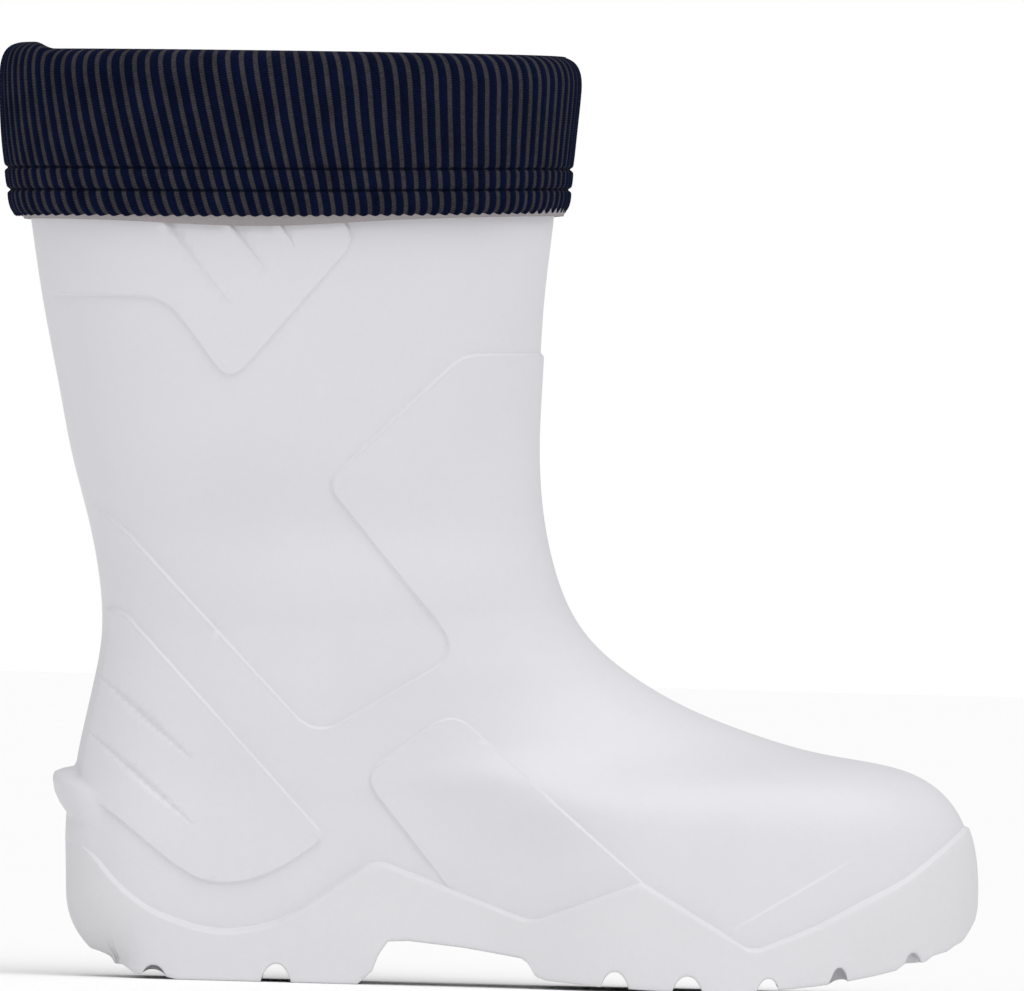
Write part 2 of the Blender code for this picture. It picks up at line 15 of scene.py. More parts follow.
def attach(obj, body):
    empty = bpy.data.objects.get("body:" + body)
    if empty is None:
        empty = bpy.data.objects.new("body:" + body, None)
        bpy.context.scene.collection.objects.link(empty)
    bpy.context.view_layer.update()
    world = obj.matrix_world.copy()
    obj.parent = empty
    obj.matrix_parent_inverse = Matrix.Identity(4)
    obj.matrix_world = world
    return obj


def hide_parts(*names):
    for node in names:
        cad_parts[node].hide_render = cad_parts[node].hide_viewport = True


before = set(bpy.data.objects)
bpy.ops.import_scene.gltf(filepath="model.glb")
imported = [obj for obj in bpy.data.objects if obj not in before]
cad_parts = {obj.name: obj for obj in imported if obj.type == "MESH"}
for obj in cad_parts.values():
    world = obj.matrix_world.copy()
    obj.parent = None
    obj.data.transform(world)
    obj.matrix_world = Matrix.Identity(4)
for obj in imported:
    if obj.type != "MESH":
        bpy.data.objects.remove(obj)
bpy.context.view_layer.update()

bl_info = {
    "name": "Work boot",
    "version": (1, 0, 0),
    "blender": (4, 5, 0),
    "location": "3D View > Sidebar > Boot",
    "description": "Makes a moulded work boot with a cup sole and a ribbed liner",
    "category": "Mesh",
}

MM = 0.001
MIDDLE = 135.658 * MM

# Sizes of the last, as in the solids
SOLE_LENGTH = 298.4 * MM
BALL_WIDTH = 104 * MM
WAIST_WIDTH = 75 * MM
HEEL_WIDTH = 72 * MM
ANKLE_WIDTH = 84 * MM
SHAFT_WIDTH = 114 * MM
INSTEP_HEIGHT = 150 * MM
COLLAR_HEIGHT = 298 * MM
SHAFT_BACK_FLARE = 26 * MM
SHAFT_FRONT_FLARE = 4 * MM
TOE_SWING = 6 * MM
UPPER_WALL = 4.5 * MM
LINER_GAP = 0.3 * MM
LINER_WALL = 3.5 * MM
CUFF_DROP = 47 * MM
CUFF_THICKNESS = 6.2 * MM
HEM_HEIGHT = COLLAR_HEIGHT - CUFF_DROP
TINY = 1e-12

# Rings of the last, bottom to top. Rises count 0 to 1 from the ground to the instep, 1 to 2 to the collar.
SECTION_COLUMNS = (
    "back_rise", "front_rise", "back", "front", "heel", "waist", "ball",
    "leg", "flare", "back_span", "front_span", "power",
)
SECTIONS = (
    (-0.07, -0.07, 0.010, 0.9920, 0.97, 0.97, 0.97, 0.00, 0.000, 0.135, 0.36, 2.45),
    (0.040, 0.080, 0.007, 0.9970, 0.99, 0.99, 0.99, 0.00, 0.000, 0.135, 0.36, 2.45),
    (0.115, 0.205, 0.006, 1.0000, 1.00, 1.00, 1.00, 0.00, 0.000, 0.135, 0.36, 2.45),
    (0.180, 0.310, 0.005, 0.9970, 1.00, 1.00, 1.00, 0.00, 0.000, 0.135, 0.37, 2.45),
    (0.235, 0.400, 0.004, 0.9820, 1.00, 1.00, 0.99, 0.00, 0.000, 0.140, 0.38, 2.45),
    (0.285, 0.467, 0.003, 0.9500, 1.00, 1.00, 0.96, 0.00, 0.000, 0.140, 0.40, 2.40),
    (0.330, 0.505, 0.003, 0.9000, 1.00, 1.00, 0.89, 0.00, 0.000, 0.150, 0.42, 2.30),
    (0.375, 0.528, 0.004, 0.8270, 0.99, 1.01, 0.82, 0.00, 0.000, 0.160, 0.42, 2.20),
    (0.425, 0.563, 0.006, 0.7580, 0.98, 1.01, 0.76, 0.05, 0.000, 0.180, 0.42, 2.10),
    (0.485, 0.612, 0.009, 0.6890, 0.98, 1.01, 0.74, 0.15, 0.000, 0.210, 0.42, 2.05),
    (0.560, 0.672, 0.016, 0.6300, 0.99, 1.02, 0.74, 0.32, 0.000, 0.260, 0.43, 2.05),
    (0.650, 0.745, 0.025, 0.5800, 1.00, 1.03, 0.76, 0.55, 0.000, 0.330, 0.45, 2.10),
    (0.755, 0.830, 0.032, 0.5470, 1.02, 1.05, 0.78, 0.78, 0.000, 0.410, 0.48, 2.15),
    (0.880, 0.930, 0.028, 0.5270, 1.05, 1.08, 0.80, 0.95, 0.010, 0.470, 0.50, 2.20),
    (1.013, 1.047, 0.015, 0.5140, 1.05, 1.08, 0.80, 1.00, 0.030, 0.500, 0.50, 2.20),
    (1.150, 1.190, 0.012, 0.5060, 1.05, 1.08, 0.80, 1.00, 0.215, 0.500, 0.50, 2.20),
    (1.305, 1.345, 0.012, 0.5050, 1.05, 1.08, 0.80, 1.00, 0.405, 0.500, 0.50, 2.20),
    (1.480, 1.520, 0.012, 0.5055, 1.05, 1.08, 0.80, 1.00, 0.620, 0.500, 0.50, 2.20),
    (1.660, 1.697, 0.012, 0.5110, 1.05, 1.08, 0.80, 1.00, 0.800, 0.500, 0.50, 2.20),
    (1.835, 1.858, 0.012, 0.5120, 1.05, 1.08, 0.80, 1.00, 0.953, 0.500, 0.50, 2.20),
    (2.000, 2.015, 0.012, 0.5130, 1.05, 1.08, 0.80, 1.00, 1.000, 0.500, 0.50, 2.20),
    (2.170, 2.185, 0.012, 0.5130, 1.05, 1.08, 0.80, 1.00, 1.040, 0.500, 0.50, 2.20),
)
COLLAR_ROW = 20
SIDE_COLUMNS = ("sign", "heel", "waist", "ball", "heel_at", "waist_at", "ball_at", "toe_span")
SIDES = (
    (-1, 1.00, 1.03, 1.03, 0.14, 0.40, 0.65, 1.08),
    (1, 1.00, 0.97, 0.97, 0.14, 0.44, 0.71, 0.84),
)

# Outlines on the boot's side. Rows are along as a share of the length, rise, and the corner's radius in mm.
SOLE_LINE = (
    (-0.120, 0.345, 0), (-0.030, 0.340, 60), (0.026, 0.287, 60), (0.052, 0.221, 60),
    (0.090, 0.160, 60), (0.166, 0.110, 60), (0.234, 0.134, 60), (0.339, 0.280, 12),
    (0.512, 0.153, 10), (0.632, 0.245, 3), (0.757, 0.099, 8), (0.826, 0.157, 60),
    (0.923, 0.262, 60), (0.975, 0.350, 60), (1.120, 0.640, 0),
)
PANELS = {
    "quarter": (
        (-0.400, 1.115, 0), (0.010, 1.048, 20), (0.060, 0.967, 8), (0.271, 0.537, 12),
        (0.429, 0.730, 10), (0.274, 1.092, 6), (0.423, 1.385, 14), (0.700, 1.405, 0),
        (1.200, 1.405, 0), (1.200, -0.200, 0), (-0.400, -0.200, 0),
    ),
    "collar_panel": (
        (-0.400, 1.500, 0), (0.093, 1.496, 18), (0.167, 1.303, 7), (0.303, 1.632, 7),
        (0.210, 1.900, 0), (-0.400, 1.900, 0),
    ),
    "heel_panel": (
        (-0.400, 0.812, 0), (0.055, 0.806, 10), (0.286, 0.318, 4), (0.240, 0.250, 60),
        (0.195, 0.213, 60), (0.150, 0.213, 60), (0.115, 0.256, 60), (0.037, 0.380, 20),
        (-0.400, 0.500, 0),
    ),
    "mid_panel": (
        (0.322, 0.456, 8), (0.420, 0.602, 10), (0.645, 0.220, 0), (0.560, 0.050, 0), (0.448, 0.150, 0),
    ),
    "toe_band": (
        (0.700, 0.020, 0), (0.734, 0.141, 0), (0.920, 0.369, 0), (1.120, 0.480, 0), (1.120, 0.020, 0),
    ),
}
# How deep the outline under the sole's line is closed
BELOW_GROUND = -100 * MM
# Claws under the cuff and grooves on the heel panel, in mm: where each starts and ends, forward and up,
# and its width on the lower and the upper side of its line
CLAWS = (
    (19.5, 256.5, 50.5, 221.0, 4.2, 1.3),
    (40.5, 256.5, 61.8, 232.4, 3.4, 1.1),
    (58.5, 256.5, 70.6, 240.4, 2.4, 1.0),
)
HEEL_GROOVES = ((8.5, 100.0, 40.5, 72.8, 1.9, 1.5), (7.0, 80.6, 41.5, 50.9, 1.9, 1.5))
# The least share of its width that a claw or groove is measured by
LEAST_WIDTH = 0.001
# The share of its width that a claw grows to at most behind its start, and how fast its height grows with it
CLAW_START = 1.3
CLAW_RISE = 1.6

# Where each change of the upper's relief starts and is done: fading of the recess and the heel panel forward
# of the back, of the others above the sole and along the toe, of the heel's swell forward and up
RECESS_FADE = (1 * MM, 6 * MM)
HEEL_PANEL_FADE = (0.5 * MM, 4 * MM)
SOLE_FADE = (0.3 * MM, 9 * MM)
TOE_BAND_FADE = (236 * MM, 268 * MM)
SWELL_FADE = (2 * MM, 14 * MM)
SWELL_TOP = (54 * MM, 70 * MM)
# How far under the sole's line the shell starts and ends tucking in, and by how much
TUCK = (2.0 * MM, 3.6 * MM)
TUCK_DEPTH = 2.1 * MM
# The value of the relief's fields inside the shell, where there is none
FAR_OUTSIDE = -50 * MM
# Half the step over which a panel edge's slope is read, and how much of the slope its shading shows
SLOPE_STEP = 0.03 * MM
EDGE_SHADING = 0.75
# The lowest ring that the shell is made from, and the one above which its rows follow the last
LOWEST_LEVEL = 0.6
KNEE_LEVEL = 5

# The underside from heel to toe: how far forward and how high, in mm
UNDERSIDE = (
    (-30, 9.6), (7, 9.0), (9.1, 8.7), (10.7, 8.2), (12.7, 7.1), (14.7, 4.5),
    (19.3, 4.4), (21.3, 3.2), (23.3, 1.6), (27, 1.4), (33.8, 0.9), (37.5, 0), (96.6, 0), (101.5, 4.6),
    (103.3, 9.8), (106.3, 14.3), (112.8, 14.7), (131.3, 12.9), (150, 10), (152.2, 8.4), (154.8, 4.1),
    (158.1, 3.0), (176, 1.4), (185, 1.0), (200, 0.4), (210, 0), (224, 0), (234.2, 1.7), (247.5, 3.4),
    (257, 5.1), (266.5, 7.2), (273.5, 9.1), (276.2, 11.3), (282.9, 11.9), (285.6, 14.1), (290, 15.4),
    (292.7, 17.4), (294.9, 18.6), (297.2, 21.9), (299.0, 25.4), (300.2, 31), (330, 90),
)
# Channels right across and notches in the edges, in mm: middle, width, height, and share of the height that
# runs on right across
CHANNELS = ((69.9, 9.9, 6.0, 1), (180.9, 9.1, 5.3, 1), (204.8, 9.9, 5.4, 1), (231.0, 7.4, 4.3, 1))
NOTCHES = ((29.9, 7.8, 3.4, 0.55), (254.4, 5.8, 4.9, 0.2), (278.7, 5.2, 3.4, 0.0))
# The upper's lower edge and the footbed from heel to toe, in mm: forward, edge's height and bed's height
BED = (
    (-14.9, 21.5, 27.5), (11.9, 17.5, 26.5), (32.8, 13.0, 25.8), (59.7, 11.7, 25.2), (86.5, 16.6, 26.1),
    (113.4, 20.7, 26.7), (149.2, 15.5, 20.7), (182.0, 11.0, 14.2), (213.4, 9.8, 13.0), (241.7, 13.0, 16.5),
    (268.6, 17.8, 21.5), (292.4, 24.8, 28.8), (316.3, 33.5, 37.5),
)
EDGE_COLUMN = 1
FOOTBED_COLUMN = 2
# The lip's slope, top to bottom last: how far under its top as a share of its height, and how far in as a
# share of its depth
LIP = ((0.93, 0.02), (0.80, 0.12), (0.20, 0.80), (0.05, 0.94), (0.00, 1.05))
# Along the length: where the sides start and stop standing out, where the lip grows at the heel and fades at
# the toe, and where the heel's taller lip is
SIDE_START = (15 * MM, 50 * MM)
SIDE_END = (252 * MM, 284 * MM)
LIP_START = (1 * MM, 11 * MM)
LIP_END = (280 * MM, 296 * MM)
HEEL_LIP_MIDDLE = 50 * MM
HEEL_LIP_SPREAD = 34 * MM
# The lip's top inside the wall's face, its depth past the upper's face, its least share, the gap under the
# upper's edge and the least height of the wall's inside under the lip
LIP_INSET = 0.7 * MM
LIP_OVERLAP = 0.35 * MM
LEAST_LIP = 0.15
SEAT_GAP = 0.1 * MM
LEAST_INSIDE = 1.5 * MM
# The slope at the heel's back: its top, its height, and where it fades out along the sides
HEEL_SLOPE_TOP = 29 * MM
HEEL_SLOPE_HEIGHT = 20.5 * MM
HEEL_SLOPE_FADE = (4 * MM, 30 * MM)
# The long grooves' soft sides, and where they fade towards the sole's edge
RUNNER_SOFTNESS = 0.6 * MM
RUNNER_EDGE = (4 * MM, 7 * MM)

# The kick-off spur: drop from its crest in shares of its own height, and share of its reach
SPUR = (
    (0.34, 0.00), (0.25, 0.10), (0.17, 0.66), (0.09, 0.94), (0.00, 1.00), (-0.10, 0.99), (-0.33, 0.86),
    (-0.52, 0.62), (-0.74, 0.20), (-0.92, 0.00),
)
# How far its crest falls at its ends, in shares of its height, how far forward it may run, and how far round
# its crest the mesh's own shading holds
SPUR_FALL = 0.62
SPUR_END = 60 * MM
SPUR_SURROUND = 24 * MM

# The cuff from its hem up and over the fold: height as a share of its drop, share of its thickness
CUFF = (
    (0.00, 0.66), (0.03, 0.88), (0.09, 0.98), (0.15, 0.97), (0.18, 0.95), (0.21, 0.97), (0.26, 0.98),
    (0.30, 0.96), (0.33, 0.94), (0.37, 0.95), (0.45, 0.97), (0.60, 0.99), (0.82, 1.02), (0.94, 1.00),
    (1.02, 0.87), (1.08, 0.60), (1.115, 0.15), (1.125, -0.40), (1.105, -0.95), (1.06, -1.22), (1.00, -1.30),
)
# Behind it, after its lining: from where, how far above that and out of the last in mm, and 1 for the tape
CUFF_BACK = (
    ("lining", -0.6, -6.6, 0), ("lining", 0, -5.1, 0), ("collar", -4, -5.0, 0), ("collar", 1.2, -5.0, 0),
    ("collar", 1.2, 0.6, 0), ("collar", -4, 0.5, 0), ("hem", 6, 0.5, 0), ("hem", 0, 1.0, 1),
    ("hem", 0, 1.8, 1), ("hem", 1.5, 2.6, 0),
)
STITCH_LINES = (0.17, 0.32)
STITCH_SPREAD = 0.013
STEPS_A_RIB = 7
CUFF_PERIMETER = 480 * MM
OFF_FABRIC = -5.0
# Where round the cuff its ribs lean most, and over how much of it, in shares
LEAN_MIDDLE = 0.16
LEAN_SPREAD = 0.17
# The cuff's back and front, how far its front draws in at the top and more at the hem, and how far its hem
# hangs at the ends and more along the sides
CUFF_REACH = (-25 * MM, 160 * MM)
CUFF_FRONT = (0.8, 1.0)
FRONT_DRAW = 0.9 * MM
FRONT_DRAW_LOW = 1.9 * MM
HEM_HANG = 1.5 * MM
SIDE_HANG = 1.2 * MM
SCALLOP = 0.7 * MM
# Where the bump at the back ends and how high up the cuff it rises, and where the tape shows most, over what
# length and how far at least
BUMP_END = (-18 * MM, -10 * MM)
BUMP_RISE = (0.62, 1.05)
TAPE_MIDDLE = 58 * MM
TAPE_SPREAD = 38 * MM
LEAST_TAPE = 1.1 * MM
# How far the sock runs up behind the lining, and the width of its ribs along them
SOCK_OVERLAP = 10 * MM
SOCK_RIB = 4.3 * MM

# The stage: the floor's reach, where the lights stand and what they face, and what the camera looks at
FLOOR_REACH = 16.0
SUN_ANGLE = math.radians(70)
SUN_DIRECTION = (0.22, -0.47, 0.86)
SUN_PLACE = (0.5, -0.6, 1.5)
FILL_PLACE = (-0.45, -0.52, 0.16)
FILL_DIRECTION = (-0.43, -0.52, 0.11)
AIM = (7.5 * MM, 161.4 * MM)


def spline(rows, at):
    """The natural cubic curve through rows one apart, read at the row numbers asked.

    Each row's bend solves (bend before + 4 bend + bend after) = 6 (row before - 2 row + row after), with no
    bend at the two ends, and the curve adds the cubes of the distances to the two nearest rows.
    """
    rows = np.asarray(rows, float)
    count = len(rows)
    system = np.eye(count)
    pull = np.zeros_like(rows)
    for i in range(1, count - 1):
        system[i, i - 1:i + 2] = (1, 4, 1)
        pull[i] = 6 * (rows[i - 1] - 2 * rows[i] + rows[i + 1])
    bend = np.linalg.solve(system, pull)
    low = np.clip(np.floor(at).astype(int), 0, count - 2)
    after = (np.asarray(at) - low)[:, None]
    before = 1 - after
    straight = before * rows[low] + after * rows[low + 1]
    return straight + ((before**3 - before) * bend[low] + (after**3 - after) * bend[low + 1]) / 6


def height_of(rise):
    """Height at a rise: 0 to 1 climbs from the ground to the instep, 1 to 2 on to the collar."""
    low = np.minimum(rise, 1) * INSTEP_HEIGHT
    return low + np.maximum(rise - 1, 0) * (COLLAR_HEIGHT - INSTEP_HEIGHT)


def ease(value, start, end):
    """A smooth step, 6s^5 - 15s^4 + 10s^3, where s is the share of the way from start to end."""
    share = np.clip((value - start) / (end - start), 0, 1)
    return share**3 * (share * (share * 6 - 15) + 10)


def unit(vectors):
    """Vectors scaled to length 1, with those of no length left at 0."""
    return vectors / np.maximum(np.linalg.norm(vectors, axis=-1, keepdims=True), TINY)


def rounded_end(distance, span, power):
    """Half-width of a superellipse end, (1 - s^p)^(1/p), where s falls from 1 at its tip to 0."""
    share = np.clip(1 - distance / span, 0, 1)
    return (1 - share**power) ** (1 / power)


def section(levels):
    """The named columns of the rings at these levels, as columns that a ring's points can use."""
    table = spline(SECTIONS, np.asarray(levels, float))
    return {name: table[:, [i]] for i, name in enumerate(SECTION_COLUMNS)}


def side_points(ring, side, along):
    """Points down one side of every ring, from its back tip to its front tip, as (ring, point, 3).

    The half-width runs smoothly from heel to waist to ball, times a superellipse at each end. The foot part
    swings towards the inner side with the square of the distance past the heel.
    """
    leg_width = ANKLE_WIDTH + (SHAFT_WIDTH - ANKLE_WIDTH) * np.sqrt(np.clip(ring["flare"], 0, None))
    widths = {}
    for name, foot_width in (("heel", HEEL_WIDTH), ("waist", WAIST_WIDTH), ("ball", BALL_WIDTH)):
        foot = ring[name] * side[name] * foot_width / 2
        widths[name] = foot + ring["leg"] * (leg_width / 2 - foot)
    half = widths["heel"]
    half = half + (widths["waist"] - widths["heel"]) * ease(along, side["heel_at"], side["waist_at"])
    half = half + (widths["ball"] - widths["waist"]) * ease(along, side["waist_at"], side["ball_at"])
    toe_share = side["toe_span"] + (1 - side["toe_span"]) * ring["leg"]
    half = half * rounded_end(along, ring["back_span"], ring["power"])
    half = half * rounded_end(1 - along, ring["front_span"] * toe_share, ring["power"])
    swing = TOE_SWING * (1 - ring["leg"]) * np.clip((along - 0.3) / 0.7, 0, 1) ** 2
    back = ring["back"] * SOLE_LENGTH - ring["flare"] * SHAFT_BACK_FLARE
    front = ring["front"] * SOLE_LENGTH + ring["flare"] * SHAFT_FRONT_FLARE
    low = height_of(ring["back_rise"])
    high = height_of(ring["front_rise"])
    x = back + (front - back) * along
    z = low + (high - low) * along
    return np.stack([x, swing + side["sign"] * half, z + 0 * x], axis=2)


def cosine_shares(count):
    """count + 1 shares from 0 to 1, (1 - cos a) / 2 for even angles, close together at both ends."""
    return (1 - np.cos(np.linspace(0, math.pi, count + 1))) / 2


def form(levels, along):
    """Rings of the last and their outward directions, each as (ring, point, 3).

    A ring runs down the outer side from heel to toe and back up the inner side. Its outward direction is the
    cross product of the steps round the ring and up to the next one.
    """
    ring = section(levels)
    outer, inner = (side_points(ring, dict(zip(SIDE_COLUMNS, row)), along) for row in SIDES)
    points = np.concatenate([outer, inner[:, -2:0:-1]], axis=1)
    around = np.roll(points, -1, axis=1) - np.roll(points, 1, axis=1)
    return points, unit(np.cross(around, np.gradient(points, axis=0)))


def level_at_height(height):
    """The levels whose rings' back tips are at these heights."""
    levels = np.linspace(0, len(SECTIONS) - 1, 2000)
    return np.interp(height, height_of(section(levels)["back_rise"])[:, 0], levels)


def gather(stack, index):
    """Rows of a stack at fractional row numbers, one number for each column and output row, read straight
    between the rows below and above."""
    low = np.clip(np.floor(index).astype(int), 0, len(stack) - 2)
    share = (index - low)[..., None]
    column = np.arange(stack.shape[1])[None, :]
    return stack[low, column] * (1 - share) + stack[low + 1, column] * share


def row_at_height(stack, heights):
    """For each column, the fractional row numbers of a stack whose points are at the heights asked."""
    rows = np.arange(len(stack))
    found = [np.interp(heights[:, k], stack[:, k, 2], rows) for k in range(stack.shape[1])]
    return np.stack(found, axis=1)


def rounded(rows, steps=8):
    """An outline from rows of along, rise and radius. Each corner with a radius becomes the curve
    (1-t)^2 start + 2t(1-t) corner + t^2 end."""
    corners = np.array([(along * SOLE_LENGTH, height_of(rise)) for along, rise, _ in rows])
    t = np.linspace(0, 1, steps + 1)[:, None]
    runs = []
    for i, (_, _, radius) in enumerate(rows):
        corner = corners[i]
        if radius == 0:
            runs.append(corner[None])
            continue
        back = corners[i - 1] - corner
        ahead = corners[(i + 1) % len(rows)] - corner
        reach = min(np.linalg.norm(back), np.linalg.norm(ahead)) * 0.48
        back = back / np.linalg.norm(back)
        ahead = ahead / np.linalg.norm(ahead)
        opening = math.acos(float(np.clip(back @ ahead, -1, 1)))
        cut_back = min(radius * MM / math.tan(opening / 2), reach)
        start = corner + back * cut_back
        end = corner + ahead * cut_back
        runs.append((1 - t) ** 2 * start + 2 * t * (1 - t) * corner + t**2 * end)
    return np.concatenate(runs)


def inside_distance(points, outline):
    """Distance from points to a closed outline seen from the side, positive inside it.

    It is the least distance to any straight run of the outline. A point is inside where a level ray from it
    crosses an odd number of runs.
    """
    start = outline
    run = np.roll(outline, -1, axis=0) - start
    flat = points[:, [0, 2]]
    apart = flat[:, None, :] - start[None]
    share = np.clip((apart * run).sum(2) / (run**2).sum(1), 0, 1)
    near = np.sqrt(((apart - share[..., None] * run) ** 2).sum(2)).min(1)
    level = np.where(np.abs(run[:, 1]) < TINY, TINY, run[:, 1])
    straddles = (start[:, 1] > flat[:, [1]]) != (start[:, 1] + run[:, 1] > flat[:, [1]])
    ahead = start[:, 0] + (flat[:, [1]] - start[:, 1]) / level * run[:, 0] > flat[:, [0]]
    odd = (straddles & ahead).sum(1) % 2 == 1
    return np.where(odd, near, -near)


def ridge_place(points, row):
    """Where points stand by a claw or groove, seen from the side: their share of the way along its line, and
    their distance to its line, positive above it."""
    x0, z0, x1, z1 = (part * MM for part in row[:4])
    run = np.array([x1 - x0, z1 - z0])
    length = np.linalg.norm(run)
    run = run / length
    apart = points[:, [0, 2]] - np.array([x0, z0])
    return apart @ run / length, apart @ np.array([-run[1], run[0]])


def grid_faces(rows, columns, close_rows):
    """Quads of a grid whose columns meet round the ring, and whose last row meets the first if asked."""
    i = np.arange(rows if close_rows else rows - 1)[:, None]
    j = np.arange(columns)[None, :]
    below = i * columns
    above = (i + 1) % rows * columns
    after = (j + 1) % columns
    return np.stack([below + j, below + after, above + after, above + j], axis=2).reshape(-1, 4)


def cut(table, faces, column, level, snap=0.06 * MM):
    """The same triangles, with edges along the line where a column of the table passes a level.

    An edge whose ends lie on both sides gets a point at the share v0 / (v0 - v1) of its length, and every
    column is read straight between its ends. A corner nearer to the level than snap counts as on it.
    """
    value = table[:, column] - level
    side = np.sign(np.where(np.abs(value) < snap, 0, value)).astype(int)
    around = side[faces]
    mixed = (around.min(1) < 0) & (around.max(1) > 0)
    if not mixed.any():
        return table, faces
    split = faces[mixed]
    around = around[mixed]
    has_zero = (around == 0).any(1)
    lone = around == -np.sign(around.sum(1))[:, None]
    first = np.where(has_zero, (around == 0).argmax(1), lone.argmax(1))
    split = np.take_along_axis(split, (first[:, None] + np.arange(3)) % 3, axis=1)
    a, b, c = split.T
    two, three = has_zero, ~has_zero
    pairs = np.concatenate([
        np.stack([b[two], c[two]], 1), np.stack([a[three], b[three]], 1), np.stack([a[three], c[three]], 1),
    ])
    ends, place = np.unique(np.sort(pairs, axis=1), axis=0, return_inverse=True)
    place = place.ravel() + len(table)
    near = value[ends[:, 0]]
    share = (near / (near - value[ends[:, 1]]))[:, None]
    added = table[ends[:, 0]] * (1 - share) + table[ends[:, 1]] * share
    added[:, column] = level
    middle, on_b, on_c = np.split(place, [two.sum(), two.sum() + three.sum()])
    pieces = [
        faces[~mixed],
        np.stack([a[two], b[two], middle], 1), np.stack([a[two], middle, c[two]], 1),
        np.stack([a[three], on_b, on_c], 1), np.stack([on_b, b[three], c[three]], 1),
        np.stack([on_b, c[three], on_c], 1),
    ]
    return np.concatenate([table, added]), np.concatenate(pieces)


def make_piece(name, points, faces, corner_uv=None, facing=None):
    """A finished object from whole arrays, set to the solids' frame, with shared points merged and its faces
    turned outwards by the sign of its volume. A facing, where given, is stored on each point for shading
    later."""
    points = points - np.array([MIDDLE, 0, 0])
    corners = points[faces[:, :3]]
    volume = (np.cross(corners[:, 0], corners[:, 1]) * corners[:, 2]).sum()
    if volume < 0:
        faces = faces[:, ::-1]
        corner_uv = None if corner_uv is None else corner_uv[:, ::-1]
    mesh = bpy.data.meshes.new(name)
    mesh.vertices.add(len(points))
    mesh.vertices.foreach_set("co", points.ravel())
    mesh.loops.add(faces.size)
    mesh.loops.foreach_set("vertex_index", faces.ravel().astype(np.int32))
    mesh.polygons.add(len(faces))
    mesh.polygons.foreach_set("loop_start", np.arange(len(faces), dtype=np.int32) * faces.shape[1])
    mesh.update(calc_edges=True)
    if corner_uv is not None:
        layer = mesh.uv_layers.new(name="fabric")
        layer.data.foreach_set("uv", corner_uv.reshape(-1).astype(np.float32))
    if facing is not None:
        mesh.attributes.new("facing", "FLOAT_VECTOR", "POINT").data.foreach_set("vector", facing.ravel())
    work = bmesh.new()
    work.from_mesh(mesh)
    bmesh.ops.remove_doubles(work, verts=work.verts, dist=1e-6)
    bmesh.ops.dissolve_degenerate(work, edges=work.edges, dist=1e-6)
    work.to_mesh(mesh)
    work.free()
    mesh.polygons.foreach_set("use_smooth", np.ones(len(mesh.polygons), dtype=bool))
    piece = bpy.data.objects.new(name, mesh)
    bpy.context.scene.collection.objects.link(piece)
    return piece


def dress(piece, node, material):
    """The piece rides on the root, stands for a solid and takes its material."""
    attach(piece, "root")
    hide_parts(node)
    piece.data.materials.append(material)
    return piece


class Wire:
    """An output socket of a finish. Sums, differences and products with numbers or wires add Math nodes."""

    def __init__(self, finish, socket):
        self.finish = finish
        self.socket = socket

    def math(self, operation, first, second=0.0):
        return self.finish.node("ShaderNodeMath", {"operation": operation}, {0: first, 1: second})

    def __add__(self, other):
        return self.math("ADD", self, other)

    def __radd__(self, other):
        return self.math("ADD", other, self)

    def __sub__(self, other):
        return self.math("SUBTRACT", self, other)

    def __rsub__(self, other):
        return self.math("SUBTRACT", other, self)

    def __mul__(self, other):
        return self.math("MULTIPLY", self, other)

    def __rmul__(self, other):
        return self.math("MULTIPLY", other, self)

    def sine(self):
        return self.math("SINE", self)

    def limited(self):
        """The value held between 0 and 1."""
        return self.finish.node("ShaderNodeClamp", {}, {0: self})

    def band(self, start, end):
        """A smooth 0 to 1 as the value goes from start to end."""
        settings = {"interpolation_type": "SMOOTHSTEP"}
        inputs = {0: self, 1: start, 2: end, 3: 0.0, 4: 1.0}
        return self.finish.node("ShaderNodeMapRange", settings, inputs)


class Finish:
    """A material whose nodes are added by one method."""

    def __init__(self, name, roughness):
        self.material = bpy.data.materials.new(name)
        self.material.use_nodes = True
        self.tree = self.material.node_tree
        self.shader = self.tree.nodes["Principled BSDF"]
        self.shader.inputs["Roughness"].default_value = roughness

    def node(self, kind, settings, inputs, output=0):
        """Adds a node: its settings first, then each input's number or wire, and gives one output."""
        made = self.tree.nodes.new(kind)
        for key, value in settings.items():
            setattr(made, key, value)
        for key, value in inputs.items():
            self.feed(made.inputs[key], value)
        return Wire(self, made.outputs[output])

    def feed(self, socket, value):
        if isinstance(value, Wire):
            self.tree.links.new(value.socket, socket)
        else:
            socket.default_value = value

    def place(self):
        """The object's own coordinates, in metres."""
        return self.node("ShaderNodeTexCoord", {}, {}, "Object")

    def noise(self, place, scale, detail=2.0, roughness=0.5):
        inputs = {"Vector": place, "Scale": scale, "Detail": detail, "Roughness": roughness}
        return self.node("ShaderNodeTexNoise", {}, inputs, "Fac")

    def mix(self, share, first, second):
        """A colour between two colours."""
        inputs = {0: share, 6: first, 7: second}
        return self.node("ShaderNodeMix", {"data_type": "RGBA"}, inputs, 2)

    def bump(self, height, distance, strength=1.0):
        inputs = {"Height": height, "Distance": distance, "Strength": strength}
        return self.node("ShaderNodeBump", {}, inputs, "Normal")

    def show(self, **inputs):
        """Feeds the shader's sockets, named with underscores for spaces."""
        for key, value in inputs.items():
            self.feed(self.shader.inputs[key.replace("_", " ")], value)
        return self.material


